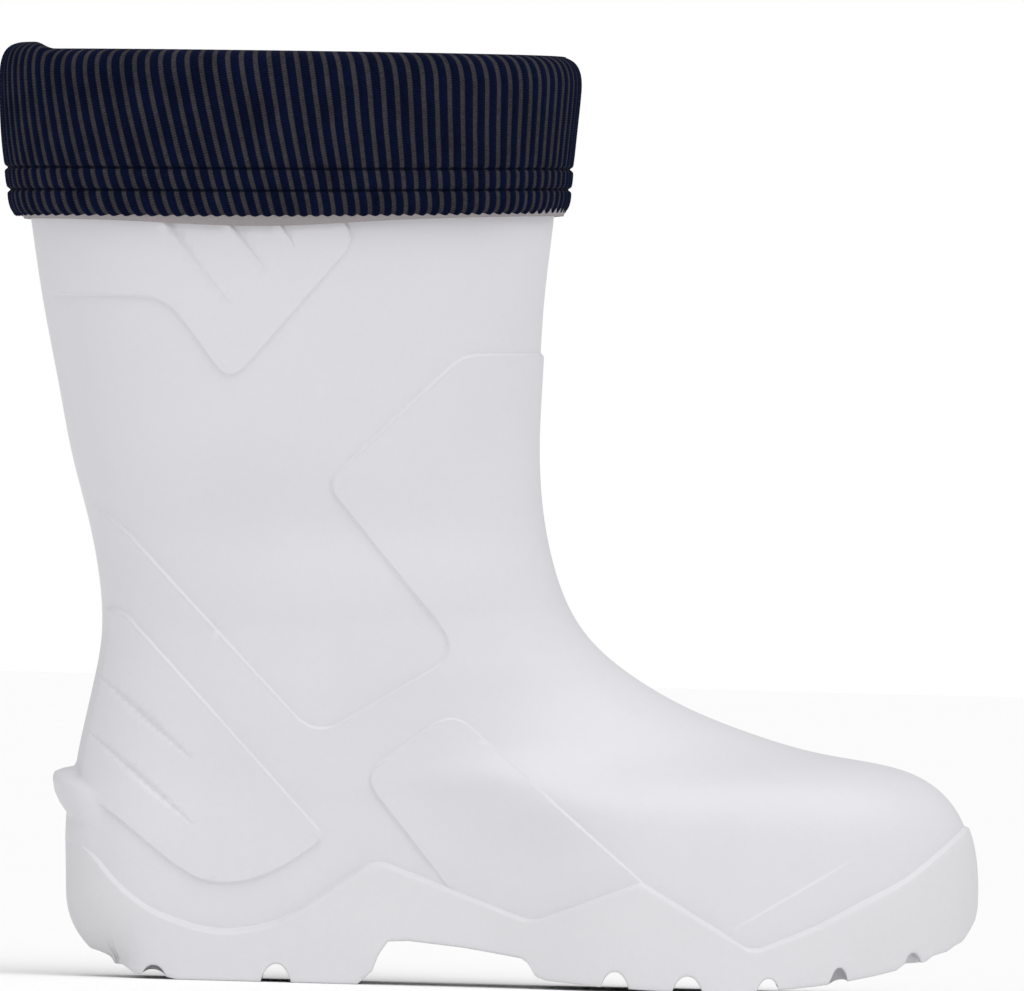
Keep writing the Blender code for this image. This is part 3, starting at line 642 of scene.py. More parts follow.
def foam_material(name, sizes, grain):
    """Moulded foam: a satin skin with a faint cloudy tone, a fine pebble and flow-soft patches of gloss."""
    finish = Finish(name, sizes.roughness)
    place = finish.place()
    cloud = finish.noise(place, 14.0, 3.0)
    speck = finish.noise(place, 420.0, 2.0, 0.6)
    tone = (cloud * 0.75 + speck * 0.25).band(0.30, 0.70)
    colour = finish.mix(tone, (*sizes.shade_colour, 1), (*sizes.colour, 1))
    skin = finish.noise(place, 1500.0, 2.0, 0.55)
    dimple = finish.noise(place, 260.0, 1.0)
    height = skin * 0.6 + dimple * 0.8
    gloss = sizes.roughness + (finish.noise(place, 38.0, 2.0) - 0.5) * 0.10
    finish.show(Base_Color=colour, Roughness=gloss, Normal=finish.bump(height, grain))
    return finish.show(Specular_IOR_Level=sizes.specular)


def knit_material(name, sizes, dark_seam_and_shade_lines):
    """Ribbed knit on the fabric map, where one unit across is a rib and one along is a rib's width.

    Navy wales stand between grey furrows. Each wale has small slanted stitches, the yarn is mottled, and a
    dark seam thread runs along each stitch line, with painted shade of the crease that the pinch makes
    there.
    """
    finish = Finish(name, 0.95)
    place = finish.place()
    fabric = finish.node("ShaderNodeUVMap", {"uv_map": "fabric"}, {})
    across = finish.node("ShaderNodeSeparateXYZ", {}, {0: fabric}, 0)
    along = finish.node("ShaderNodeSeparateXYZ", {}, {0: fabric}, 1)
    fuzz = finish.noise(place, 900.0, 3.0, 0.7)
    cloud = finish.noise(place, 90.0, 2.0)
    wander = (cloud - 0.5) * 0.12
    wave = ((across + wander) * (2 * math.pi) + math.pi / 2).sine()
    wale = (wave * 0.5 + 0.5 + (fuzz - 0.5) * 0.24).band(0.16, 0.40)
    slant = (across * (2 * math.pi)).sine() * 0.35
    stitch = ((along * 5.0 + slant) * (2 * math.pi)).sine() * 0.5 + 0.5
    yarn = fuzz * 0.55 + cloud * 0.30 + stitch * 0.15
    navy = finish.mix(yarn.band(0.3, 0.7), (*sizes.navy_dark, 1), (*sizes.navy, 1))
    grey = finish.mix(yarn.band(0.3, 0.7), (*sizes.grey_dark, 1), (*sizes.grey, 1))
    ribs = finish.mix(wale, grey, navy)
    # Darker towards dark navy along each stitch line: partly the seam's own dark thread, partly painted
    # shade of its crease.
    for seam in dark_seam_and_shade_lines:
        near = 1.0 - ((along - seam) * (along - seam) * 22.0).limited()
        ribs = finish.mix(near * 0.85, ribs, (*sizes.navy_dark, 1))
    tape = along.math("LESS_THAN", along, 0.0)
    colour = finish.mix(tape, ribs, (*sizes.tape, 1))
    height = stitch * 0.35 + fuzz * 0.9
    material = finish.show(Base_Color=colour, Normal=finish.bump(height, 0.3 * MM), Specular_IOR_Level=0.05)
    finish.show(Sheen_Weight=0.02, Sheen_Roughness=0.4, Sheen_Tint=(0.5, 0.6, 0.9, 1))
    return material


def a_length(name, description, default):
    """A length among the sizes, its default in millimetres."""
    return bpy.props.FloatProperty(name=name, description=description, default=default * MM, unit="LENGTH")


def an_angle(name, description, default):
    """An angle among the sizes, its default in degrees."""
    angle = math.radians(default)
    return bpy.props.FloatProperty(name=name, description=description, default=angle, subtype="ANGLE")


def a_share(name, description, default):
    """A share from 0 to 1 among the sizes."""
    return bpy.props.FloatProperty(name=name, description=description, default=default, subtype="FACTOR")


def a_strength(name, description, default):
    """A light's strength among the sizes."""
    return bpy.props.FloatProperty(name=name, description=description, default=default)


def a_colour(name, description, default):
    """A colour among the sizes."""
    return bpy.props.FloatVectorProperty(
        name=name, description=description, default=default, subtype="COLOR")


class UpperSizes(bpy.types.PropertyGroup):
    """The upper's relief and finish."""

    step: a_length("Panel step", "Height of each raised panel", 1.15)
    toe_step: a_length("Toe band step", "Height of the band round the toe", 0.6)
    claw_step: a_length("Claw height", "Height of the claws under the cuff", 1.3)
    groove_depth: a_length("Groove depth", "Depth of the grooves on the heel panel", 0.95)
    bevel: a_length("Bevel", "Half the width of a panel's edge", 0.7)
    heel_swell: a_length("Heel swell", "How far the heel swells to meet the sole", 1.6)
    spur_reach: a_length("Spur reach", "How far the kick-off spur stands out", 7.2)
    spur_height: a_length("Spur height", "Height of the spur's crest at the back", 65)
    spur_drop: a_length("Spur drop", "Height of the spur under its crest", 15)
    spur_half_width: a_length("Spur half-width", "Reach of the spur to each side", 27)
    colour: a_colour("Colour", "The foam's lighter tone", (0.680, 0.672, 0.706))
    shade_colour: a_colour("Shade colour", "The foam's darker tone", (0.655, 0.647, 0.681))
    roughness: a_share("Roughness", "Roughness of the foam's skin", 0.42)
    specular: a_share("Specular", "Strength of the skin's reflection", 0.45)


class SoleSizes(bpy.types.PropertyGroup):
    """The sole's edges and finish."""

    proud: a_length("Proud", "How far the sole's wall stands out of the upper", 1.5)
    side_proud: a_length("Side proud", "How much further it stands out along the sides", 1.1)
    wall: a_length("Wall", "Thickness of the sole's wall", 3.3)
    lip: a_length("Lip", "Height of the sloped lip on the wall", 1.9)
    heel_lip: a_length("Heel lip", "Height of the sloped lip round the heel", 2.6)
    heel_slope: a_length("Heel slope", "How far the heel's back draws in at its foot", 8.6)
    edge: a_length("Edge", "Rounding of the wall's lower edge", 0.7)
    notch_reach: a_length("Notch reach", "How far the edge notches run inwards", 7)
    runner_spacing: a_length("Runner spacing", "Distance between the two long grooves", 27)
    runner_width: a_length("Runner width", "Width of the long grooves", 4.5)
    runner_depth: a_length("Runner depth", "Depth of the long grooves", 4)
    colour: a_colour("Colour", "The sole's lighter tone", (0.678, 0.670, 0.692))
    shade_colour: a_colour("Shade colour", "The sole's darker tone", (0.652, 0.644, 0.666))
    roughness: a_share("Roughness", "Roughness of the sole", 0.5)
    specular: a_share("Specular", "Strength of the sole's reflection", 0.4)


class LinerSizes(bpy.types.PropertyGroup):
    """The liner's ribs and yarns."""

    ribs: bpy.props.IntProperty(name="Ribs", description="Ribs round the cuff", default=112, min=20)
    rib_height: a_length("Rib height", "How far the ribs stand out", 0.9)
    slant: an_angle("Slant", "Lean of the ribs at the back of the cuff", 12)
    lining_drop: a_length("Inside drop", "How far the cuff's fabric runs down inside", 62)
    tape_drop: a_length("Tape drop", "How far the tape shows under the hem's middle", 2.2)
    pinch: a_length("Stitch pinch", "How far each stitch line draws the cuff in", 0.8)
    back_bump: a_length("Back bump", "Height of the fold's bump at the back", 2.3)
    navy: a_colour("Navy", "Light tone of the navy yarn", (0.0024, 0.0055, 0.027))
    navy_dark: a_colour("Dark navy", "Dark tone of the navy yarn", (0.0008, 0.0018, 0.0095))
    grey: a_colour("Grey", "Light tone of the grey yarn", (0.050, 0.047, 0.053))
    grey_dark: a_colour("Dark grey", "Dark tone of the grey yarn", (0.021, 0.020, 0.024))
    tape: a_colour("Tape", "Colour of the tape inside the hem", (0.36, 0.33, 0.34))


class StageSizes(bpy.types.PropertyGroup):
    """The floor, the lights and the camera."""

    floor: a_colour("Floor", "Colour of the floor", (0.97, 0.97, 0.97))
    roll: an_angle("Roll", "Turn of the camera about its view", 1.5)
    view_width: a_length("View width", "Width seen at the boot's middle", 336.7)
    distance: a_length("Distance", "From the camera to the boot's middle", 10000)
    key: a_strength("Key light", "Strength of the high soft sun", 1.6)
    fill: a_strength("Low fill", "Power of the low soft fill light in watts", 0.15)
    sky: a_strength("Sky", "Strength of the pale surroundings", 0.60)


def ramp(distance, bevel):
    """0 to 1 across a panel's edge, 1/2 + t - t |t| / 2 where t is the distance over the bevel."""
    share = np.clip(distance / bevel, -1, 1)
    return 0.5 + share - share * np.abs(share) / 2


def claw_share(along):
    """Width of a claw along its line, 1 - s, so that it narrows to a point at its lower end."""
    return 1 - along


def groove_share(along):
    """Width of a heel groove along its line: (4 s (1 - s))^0.8, so that both its ends are fine points."""
    share = np.clip(along, 0, 1)
    return (4 * share * (1 - share)) ** 0.8


def ridge_shape(off, width, row):
    """1 on the line of a claw or groove and 0 at its two edges, which draw together with the share width."""
    below, above = row[4:]
    return np.interp(off / np.maximum(width, LEAST_WIDTH), (-below * MM, 0, above * MM), (0, 1, 0))


def upper_relief(fields, sizes):
    """Height of the moulded relief over the last, from the named fields.

    The shaft's recess is one step down outside the quarter and the collar panel, and fades out at the back.
    Each further layer brings the height to its own by its ramp. A claw rises over its lower width to its
    line and falls over its upper one. A heel groove is a V that narrows to a point at both ends. The spur
    stands out by its profile, and the heel swells under it to meet the sole's wall. Under the sole's line
    the shell is tucked in.
    """
    outside = 1 - ramp(fields["quarter"], sizes.bevel)
    outside = outside * (1 - ramp(fields["collar_panel"], sizes.bevel))
    height = -sizes.step * ease(fields["from_back"], *RECESS_FADE) * outside
    over_sole = 0.5 + 0.5 * ease(-fields["under_sole"], *SOLE_FADE)
    layers = (
        ("heel_panel", sizes.step, ease(fields["from_back"], *HEEL_PANEL_FADE)),
        ("mid_panel", sizes.step, over_sole),
        ("toe_band", sizes.toe_step, (1 - ease(fields["x"], *TOE_BAND_FADE)) * over_sole),
    )
    for name, step, shown in layers:
        height = height + (step - height) * ramp(fields[name], sizes.bevel) * shown
    for i, row in enumerate(CLAWS):
        left = np.clip(claw_share(fields[f"claw_{i}_along"]), 0, CLAW_START)
        shape = ridge_shape(fields[f"claw_{i}"], left, row)
        height = height + sizes.claw_step * shape * np.minimum(left * CLAW_RISE, 1)
    for i, row in enumerate(HEEL_GROOVES):
        spindle = groove_share(fields[f"groove_{i}_along"])
        height = height - sizes.groove_depth * ridge_shape(fields[f"groove_{i}"], spindle, row) * spindle
    swell = (1 - ease(fields["x"], *SWELL_FADE)) * (1 - ease(fields["z"], *SWELL_TOP))
    height = height + sizes.heel_swell * swell
    drops, reaches = np.array(SPUR)[::-1].T
    reach = np.interp(fields["spur"], drops * sizes.spur_drop, reaches)
    spur = sizes.spur_reach * reach * fields["spur_fade"]
    height = np.where(spur > 0, np.maximum(spur, height), height)
    tucked = np.interp(fields["under_sole"], TUCK, (0, 1))
    return height + (-TUCK_DEPTH - height) * tucked


def upper_fields(points, from_back, sizes):
    """The named fields that the upper's relief is read from, one value a point.

    The spur's crest falls away to each side with the power 1.6 of the share of its half-width, and its reach
    with the power 2.2.
    """
    fields = {"from_back": from_back, "x": points[:, 0], "z": points[:, 2]}
    for name, rows in PANELS.items():
        fields[name] = inside_distance(points, rounded(rows))
    for name, rows, _ in RIDGES:
        for i, row in enumerate(rows):
            fields[f"{name}_{i}_along"], fields[f"{name}_{i}"] = ridge_place(points, row)
    line = rounded(SOLE_LINE)
    under = np.concatenate([line, [[line[-1, 0], BELOW_GROUND], [line[0, 0], BELOW_GROUND]]])
    fields["under_sole"] = inside_distance(points, under)
    share = np.clip(np.abs(points[:, 1]) / sizes.spur_half_width, 0, 1)
    share = np.where(points[:, 0] < SPUR_END, share, 1)
    fields["spur"] = points[:, 2] - sizes.spur_height + SPUR_FALL * sizes.spur_drop * share**1.6
    fields["spur_fade"] = 1 - share**2.2
    return fields


RIDGES = (("claw", CLAWS, claw_share), ("groove", HEEL_GROOVES, groove_share))


def add_ridge_edges(fields):
    """Adds how far each point stands from the lower and the upper edge of every claw and groove."""
    for name, rows, width in RIDGES:
        for i, (*_, below, above) in enumerate(rows):
            share = width(fields[f"{name}_{i}_along"])
            fields[f"{name}_{i}_low"] = fields[f"{name}_{i}"] + below * MM * share
            fields[f"{name}_{i}_high"] = fields[f"{name}_{i}"] - above * MM * share


def upper_cuts(sizes):
    """Each line that the upper's mesh is cut along: a field, and the level that it passes there."""
    cuts = [(name, share * sizes.bevel) for name in PANELS for share in (-1, 0, 1)]
    for name, rows, _ in RIDGES:
        cuts += [(f"{name}_{i}{edge}", 0.0) for i in range(len(rows)) for edge in ("", "_low", "_high")]
    cuts += [("spur", drop * sizes.spur_drop) for drop, _ in SPUR[1::2]]
    return cuts + [("under_sole", depth) for depth in (TUCK[0] / 2, *TUCK)]


def relief_facing(table, found, sizes):
    """The direction that each point on a panel's edge faces, and zero elsewhere, where the mesh's own holds.

    It is the base direction less a share of the relief's slope, read as a central difference along two
    directions in the surface.
    """
    points, away = table[:, :3], table[:, 3:6]
    first = unit(np.cross((0, 0, 1), away))
    facing = away.copy()
    for tangent in (first, np.cross(away, first)):
        heights = []
        for step in (SLOPE_STEP, -SLOPE_STEP):
            moved = upper_fields(points + tangent * step, found["from_back"] + tangent[:, 0] * step, sizes)
            heights.append(upper_relief(moved, sizes))
        slope = (heights[0] - heights[1]) / (2 * SLOPE_STEP)
        facing = facing - tangent * (EDGE_SHADING * slope)[:, None]
    on_edge = np.any([np.abs(found[name]) < 1.05 * sizes.bevel for name in PANELS], axis=0)
    by_spur = (found["spur_fade"] > 0) & (np.abs(found["spur"]) < SPUR_SURROUND)
    inside = np.linalg.norm(away, axis=1) < 0.5
    own = ~on_edge | by_spur | (found["under_sole"] > 0) | inside
    return np.where(own[:, None], 0, unit(facing))


def shade_by_facing(mesh):
    """Give a mesh its stored facing as normals where it isn't zero, and its own elsewhere."""
    layer = mesh.attributes["facing"]
    stored = np.empty((len(mesh.vertices), 3), dtype=np.float32)
    layer.data.foreach_get("vector", stored.ravel())
    own = np.empty_like(stored)
    mesh.vertex_normals.foreach_get("vector", own.ravel())
    known = np.linalg.norm(stored, axis=1, keepdims=True) > 0.5
    mesh.attributes.remove(layer)
    mesh.normals_split_custom_set_from_vertices(np.where(known, stored, own))


def along_bed(x, column):
    """The upper's lower edge or the footbed at x, read straight between the rows of the table."""
    table = np.array(BED) * MM
    return np.interp(x, table[:, 0], table[:, column])


def upper_skins():
    """The shell's rings on its outside and down its inside, each as points and their outward directions.

    Up to the knee the rings spread from the shell's lower edge, and above it they are the last's own.
    """
    dense, away = form(np.linspace(LOWEST_LEVEL, COLLAR_ROW, 1100), cosine_shares(112)[None, :])
    low = row_at_height(dense, along_bed(dense[:1, :, 0], EDGE_COLUMN) + 0.3 * MM)
    top = len(dense) - 1
    knee = (KNEE_LEVEL - LOWEST_LEVEL) / (COLLAR_ROW - LOWEST_LEVEL) * top
    ankle = 2.15 * knee
    outer_rows = np.concatenate([
        np.linspace(0, knee, 20)[:-1], np.linspace(knee, ankle, 36)[:-1], np.linspace(ankle, top, 62),
    ])
    skins = []
    for rows in (outer_rows[:, None], np.linspace(top, 0, 24)[:, None]):
        index = np.where(rows < knee, low + rows / knee * (knee - low), rows + 0 * low)
        skins.append((gather(dense, index), gather(away, index)))
    return skins


def make_upper(sizes):
    """The shell as one closed surface: up the outside, over the rim, down the cavity and under the edge.

    Its triangles are cut along the middle and both sides of every panel's bevel, so that each moulded edge
    is an edge of the mesh. A point then moves outwards by the relief at it.
    """
    (outside, out), (cavity, cavity_out) = upper_skins()
    inside = cavity - cavity_out * UPPER_WALL
    from_back = (outside[:, :, 0] - outside[:, :1, 0]).ravel()
    fields = upper_fields(outside.reshape(-1, 3), from_back, sizes)
    add_ridge_edges(fields)
    names = list(fields)
    count = inside.shape[0] * inside.shape[1]
    plain = dict.fromkeys(names, FAR_OUTSIDE)
    plain.update(spur_fade=0, under_sole=-FAR_OUTSIDE)
    columns = [np.concatenate([fields[name], np.full(count, plain[name])]) for name in names]
    points = np.concatenate([outside.reshape(-1, 3), inside.reshape(-1, 3)])
    directions = np.concatenate([out.reshape(-1, 3), np.zeros((count, 3))])
    table = np.column_stack([points, directions, *columns])
    quads = grid_faces(len(outside) + len(inside), outside.shape[1], True)
    faces = np.concatenate([quads[:, [0, 1, 2]], quads[:, [0, 2, 3]]])
    for name, level in upper_cuts(sizes):
        table, faces = cut(table, faces, 6 + names.index(name), level)
    found = {name: table[:, 6 + i] for i, name in enumerate(names)}
    moved = table[:, :3] + table[:, 3:6] * upper_relief(found, sizes)[:, None]
    piece = make_piece("boot_upper", moved, faces, facing=relief_facing(table, found, sizes))
    shade_by_facing(piece.data)
    return dress(piece, "upper", foam_material("white moulded foam", sizes, 0.05 * MM))


def lift(x, rows, across=0.0):
    """How far slots raise the underside at x: height times (1 - u^2.2)^0.8, where u is the distance from the
    slot's middle over half its width. Where across is 1, only the share that runs right across is left."""
    raised = np.zeros_like(x)
    for middle, width, height, through in rows:
        side = np.clip(np.abs(x / MM - middle) / (width / 2), 0, 1)
        shown = 1 + (through - 1) * across
        raised = np.maximum(raised, height * MM * (1 - side**2.2) ** 0.8 * shown)
    return raised


def sole_stations():
    """Where the sole's sections stand, from heel to toe: even steps and a pair of them at every corner."""
    even = cosine_shares(190) * SOLE_LENGTH
    corners = [x for x, _ in UNDERSIDE[1:-1]]
    for middle, width, _, _ in CHANNELS + NOTCHES:
        turn = np.cos(np.linspace(0, math.pi, 13)) * width / 2
        corners += list(middle + turn) + [middle - width / 2 - 0.12, middle + width / 2 + 0.12]
    line = rounded(SOLE_LINE)[:, 0]
    every = np.concatenate([even, np.array(corners) * MM, line])
    every = np.sort(every[(every > 0.4 * MM) & (every < SOLE_LENGTH - 0.4 * MM)])
    keep = np.concatenate([[True], np.diff(every) > 0.08 * MM])
    return np.concatenate([[0], every[keep], [SOLE_LENGTH]])


def sole_form(levels, stations):
    """The last's rings with their points at the same distances forward, for sections straight across.

    Near the two tips a point keeps its share of the ring instead, so that the ends stay round.
    """
    share = stations[None, :] / SOLE_LENGTH
    ring = section(levels)
    back = ring["back"] * SOLE_LENGTH
    front = ring["front"] * SOLE_LENGTH
    exact = np.clip((stations[None, :] - back) / (front - back), 0, 1)
    steady = ease(share, 0.0, 0.09) * ease(1 - share, 0.0, 0.09)
    return form(levels, share + (exact - share) * steady)


def edge_points(stack, away, guess, line, offset):
    """For each column, how far forward its offset surface meets a line from heel to toe, and how high.

    It reads the line at the guess, finds the surface at that height, and repeats with what it found.
    """
    x = guess
    for _ in range(6):
        height = np.interp(x, *line.T)
        row = row_at_height(stack, height[None])
        found = (gather(stack, row) + gather(away, row) * offset[:, None])[0, :, 0]
        x = 0.5 * x + 0.5 * found
    return x, np.interp(x, *line.T)


def heel_draw(height, x):
    """Share by which the heel's back draws in under its slope's top, fading out along the sides: the depth
    under the top over the slope's height, at most 1.1, to the power 2.5."""
    depth = np.clip((HEEL_SLOPE_TOP - height) / HEEL_SLOPE_HEIGHT, 0, 1.1)
    return depth**2.5 * (1 - ease(x, *HEEL_SLOPE_FADE))


def sole_wall(stack, away, stations, sizes):
    """One side of the sole, from its foot up the wall, over the sloped lip and down inside, as
    (row, station, 3), and the plain underside's height at its foot."""
    along_side = ease(stations, *SIDE_START) * (1 - ease(stations, *SIDE_END))
    proud = sizes.proud + sizes.side_proud * along_side
    middle = stack[40, :, 0]
    under_line = np.array(UNDERSIDE) * MM
    foot_x, base = edge_points(stack, away, middle, under_line, proud)
    facing = gather(away, row_at_height(stack, base[None]))[0, :, 0]
    foot_x = foot_x - facing * sizes.heel_slope * heel_draw(base, foot_x)
    base = np.interp(foot_x, *under_line.T)
    low = base + lift(foot_x, CHANNELS) + lift(foot_x, NOTCHES)
    top_x, top = edge_points(stack, away, middle, rounded(SOLE_LINE), proud - LIP_INSET)
    at_heel = np.exp(-((top_x - HEEL_LIP_MIDDLE) / HEEL_LIP_SPREAD) ** 2)
    ends = ease(top_x, *LIP_START) * (1 - 0.6 * ease(top_x, *LIP_END))
    lip = (sizes.lip + (sizes.heel_lip - sizes.lip) * at_heel) * (LEAST_LIP + (1 - LEAST_LIP) * ends)
    depth = proud + LIP_OVERLAP
    seat = np.minimum(along_bed(top_x, EDGE_COLUMN) - SEAT_GAP, top - lip - LEAST_INSIDE)
    up_wall = np.linspace(0, 1, 20)[:, None]
    none = np.zeros_like(low)
    z = np.stack([
        low, low + sizes.edge * 0.3, *(low + sizes.edge + (top - lip - low - sizes.edge) * up_wall),
        *(top - lip * drop for drop, _ in LIP), top - 0.2 * MM, seat,
    ])
    inward = np.stack([
        none + sizes.edge, none + sizes.edge * 0.3, *(none + 0 * up_wall),
        *(depth * share for _, share in LIP), none + sizes.wall, none + sizes.wall,
    ])
    row = row_at_height(stack, z)
    direction = gather(away, row)
    wall = gather(stack, row) + direction * (proud - inward)[..., None]
    wall = wall - direction * (sizes.heel_slope * heel_draw(z, wall[:, :, 0]))[..., None]
    wall[:, :, 2] = z
    return wall, base


def sole_underside(outer, inner, bases, sizes):
    """The tread from the inner side's foot to the outer's, as (row, station, 3).

    Channels run right across, notches stay within their reach of the edges, and two long grooves run between
    them with soft sides.
    """
    share = np.linspace(0, 1, 84)[1:-1, None]
    under = inner + (outer - inner) * share[..., None]
    plain = bases[0] + (bases[1] - bases[0]) * (1 - share)
    from_edge = np.minimum(under[:, :, 1] - outer[:, 1], inner[:, 1] - under[:, :, 1])
    within = ease(from_edge, sizes.notch_reach, sizes.notch_reach + 0.8 * MM)
    slots = np.maximum(lift(under[:, :, 0], CHANNELS), lift(under[:, :, 0], NOTCHES, within))
    half = sizes.runner_width / 2
    apart = np.abs(np.abs(under[:, :, 1]) - sizes.runner_spacing / 2)
    runner = sizes.runner_depth * (1 - ease(apart, half - RUNNER_SOFTNESS, half + RUNNER_SOFTNESS))
    under[:, :, 2] = plain + np.maximum(slots, runner * ease(from_edge, *RUNNER_EDGE))
    return under


def make_sole(sizes):
    """The cup sole as sections carried along its length, each a closed loop.

    A loop goes up the outer side's wall from the underside, over the sloped lip, down inside, across under
    the upper, up and over the inner side's lip, down its wall and back across the underside.
    """
    stations = sole_stations()
    count = len(stations)
    points, out = sole_form(np.linspace(0, 8.5, 240), stations)
    columns = (np.arange(count), (2 * count - 2 - np.arange(count)) % (2 * count - 2))
    sides = [sole_wall(points[:, column], out[:, column], stations, sizes) for column in columns]
    (outer, inner), bases = zip(*sides)
    floor = outer[-1] + (inner[-1] - outer[-1]) * np.linspace(0, 1, 6)[1:-1, None, None]
    under = sole_underside(outer[0], inner[0], bases, sizes)
    grid = np.concatenate([outer, floor, inner[::-1], under]).transpose(1, 0, 2)
    faces = grid_faces(count, grid.shape[1], False)
    piece = make_piece("boot_sole", grid.reshape(-1, 3), faces)
    return dress(piece, "sole", foam_material("off-white sole foam", sizes, 0.08 * MM))


def travel(points):
    """Length along a run of points, 0 at its first."""
    return np.concatenate([[0], np.cumsum(np.linalg.norm(np.diff(points, axis=0), axis=1))])


def even_ring(ring, shares):
    """Points of a closed ring at shares of its length seen from above, straight between its own points."""
    closed = np.concatenate([ring, ring[:1]])
    length = travel(closed[:, :2])
    place = (shares % 1.0) * length[-1]
    return np.stack([np.interp(place, length, closed[:, k]) for k in range(3)], axis=1)


def fabric_map(across, along):
    """The fabric map of a grid's faces, corner by corner, from the values of its columns and of its rows."""
    i, j = np.meshgrid(np.arange(len(along) - 1), np.arange(len(across) - 1), indexing="ij")
    corners = ((i, j), (i, j + 1), (i + 1, j + 1), (i + 1, j))
    return np.stack([np.stack([across[b], along[a]], axis=2).reshape(-1, 2) for a, b in corners], axis=1)


def cuff_rows(sizes):
    """The cuff's rows: round its outside, down its lining and back up behind it to the hem.

    Each has its height, its distance out of the last, and 1 or 0 for whether it is ribbed, is part of the
    tape and is on the outside.
    """
    lining_end = COLLAR_HEIGHT - sizes.lining_drop
    starts = {"lining": lining_end, "collar": COLLAR_HEIGHT, "hem": HEM_HEIGHT}
    profile = spline(CUFF, np.linspace(0, len(CUFF) - 1, 84))
    rows = [(HEM_HEIGHT + up * CUFF_DROP, out * CUFF_THICKNESS, 1, 0, out > 0) for up, out in profile]
    rows += [(z, rows[-1][1], 1, 0, 0) for z in np.linspace(rows[-1][0], lining_end, 14)[1:]]
    rows += [(starts[name] + above * MM, out * MM, 0, tape, 0) for name, above, out, tape in CUFF_BACK]
    return np.array(rows, float).T


def make_cuff(sizes):
    """The turned-down cuff as one closed surface whose grid follows the ribs.

    A ring's point j stands at share j / count plus the ribs' lean. Its distance out is the profile's plus
    rib height times (0.5 + 0.5 cos 2 pi rib) ^ 0.7, which makes round wales with narrow furrows. The hem
    hangs lower along the sides, the front is drawn in, and each stitch line pinches the cuff.
    """
    count = sizes.ribs * STEPS_A_RIB
    z, out_by, ribbed, taped, outer = cuff_rows(sizes)
    share = np.arange(count) / count
    lean = np.exp(-((((share - LEAN_MIDDLE + 0.5) % 1.0) - 0.5) / LEAN_SPREAD) ** 2)
    wale = (0.5 + 0.5 * np.cos(2 * math.pi * share * sizes.ribs)) ** 0.7
    levels = np.unique(level_at_height(z))
    rings, ring_out = form(levels, cosine_shares(300)[None, :])
    at = np.minimum(np.searchsorted(levels, level_at_height(z)), len(levels) - 1)
    shares = share + (COLLAR_HEIGHT - z[:, None]) * math.tan(sizes.slant) / CUFF_PERIMETER * lean
    place = np.stack([even_ring(rings[row], where) for row, where in zip(at, shares)])
    tips = np.stack([even_ring(rings[row] + ring_out[row], where) for row, where in zip(at, shares)])
    away = unit((tips - place) * (1, 1, 0))
    along = (z[:, None] - HEM_HEIGHT) / CUFF_DROP
    pinch = sum(np.exp(-(((along - line) / STITCH_SPREAD) ** 2)) for line in STITCH_LINES) * outer[:, None]
    rib = sizes.rib_height * (1 - 0.75 * pinch) * (wale - 0.6) * ribbed[:, None]
    forward = np.clip((place[:, :, 0] - CUFF_REACH[0]) / (CUFF_REACH[1] - CUFF_REACH[0]), 0, 1)
    low = np.clip(1 - along, 0, 1)
    drawn_in = (FRONT_DRAW + FRONT_DRAW_LOW * low) * ease(forward, *CUFF_FRONT) * outer[:, None]
    grid = place + away * (out_by[:, None] + rib - sizes.pinch * pinch - drawn_in)[..., None]
    hang = (HEM_HANG + SIDE_HANG * np.sin(math.pi * forward)) * low
    bump = sizes.back_bump * (1 - ease(grid[:, :, 0], *BUMP_END)) * ease(along, *BUMP_RISE)
    scallop = SCALLOP * (wale - 0.5) * (np.arange(len(z)) < 3)[:, None]
    crescent = np.exp(-((grid[:, :, 0] - TAPE_MIDDLE) / TAPE_SPREAD) ** 2)
    tape = (sizes.tape_drop * crescent + LEAST_TAPE) * taped[:, None]
    grid[:, :, 2] += bump - hang - scallop - tape
    run = travel(grid[:, count // 4]) / (CUFF_PERIMETER / sizes.ribs) + 0.5
    on_fabric = np.where(ribbed > 0, run, OFF_FABRIC)
    corner_uv = fabric_map(np.arange(count + 1) / STEPS_A_RIB, np.append(on_fabric, on_fabric[0]))
    # Where along the fabric map each stitch line's dark thread and painted crease shade go.
    dark_seam_and_shade_lines = [float(np.interp(line, along[:60, 0], run[:60])) for line in STITCH_LINES]
    return make_piece("liner_cuff", grid.reshape(-1, 3), grid_faces(len(z), count, True), corner_uv), dark_seam_and_shade_lines


def sock_skin(points, out, offset, floor_lift, top):
    """One skin of the sock as (row, point, 3): from the sole's middle line out along its floor and up."""
    stack = points + out * offset
    above = stack[:, :, 2] - along_bed(stack[:, :, 0], FOOTBED_COLUMN) - floor_lift
    first = np.argmax(above > 0, axis=0)
    column = np.arange(stack.shape[1])
    low = above[first - 1, column]
    start = first - 1 + low / (low - above[first, column])
    end = row_at_height(stack, np.full((1, stack.shape[1]), top))[0]
    wall = gather(stack, start + (end - start) * np.linspace(0, 1, 64)[:, None])
    foot = wall[0]
    spine = (foot + foot[(-column) % len(column)]) / 2
    flat = foot + (spine - foot) * np.linspace(1, 0, 9)[:-1, None, None]
    flat[:, :, 2] = along_bed(flat[:, :, 0], FOOTBED_COLUMN) + floor_lift
    return np.concatenate([flat, wall])


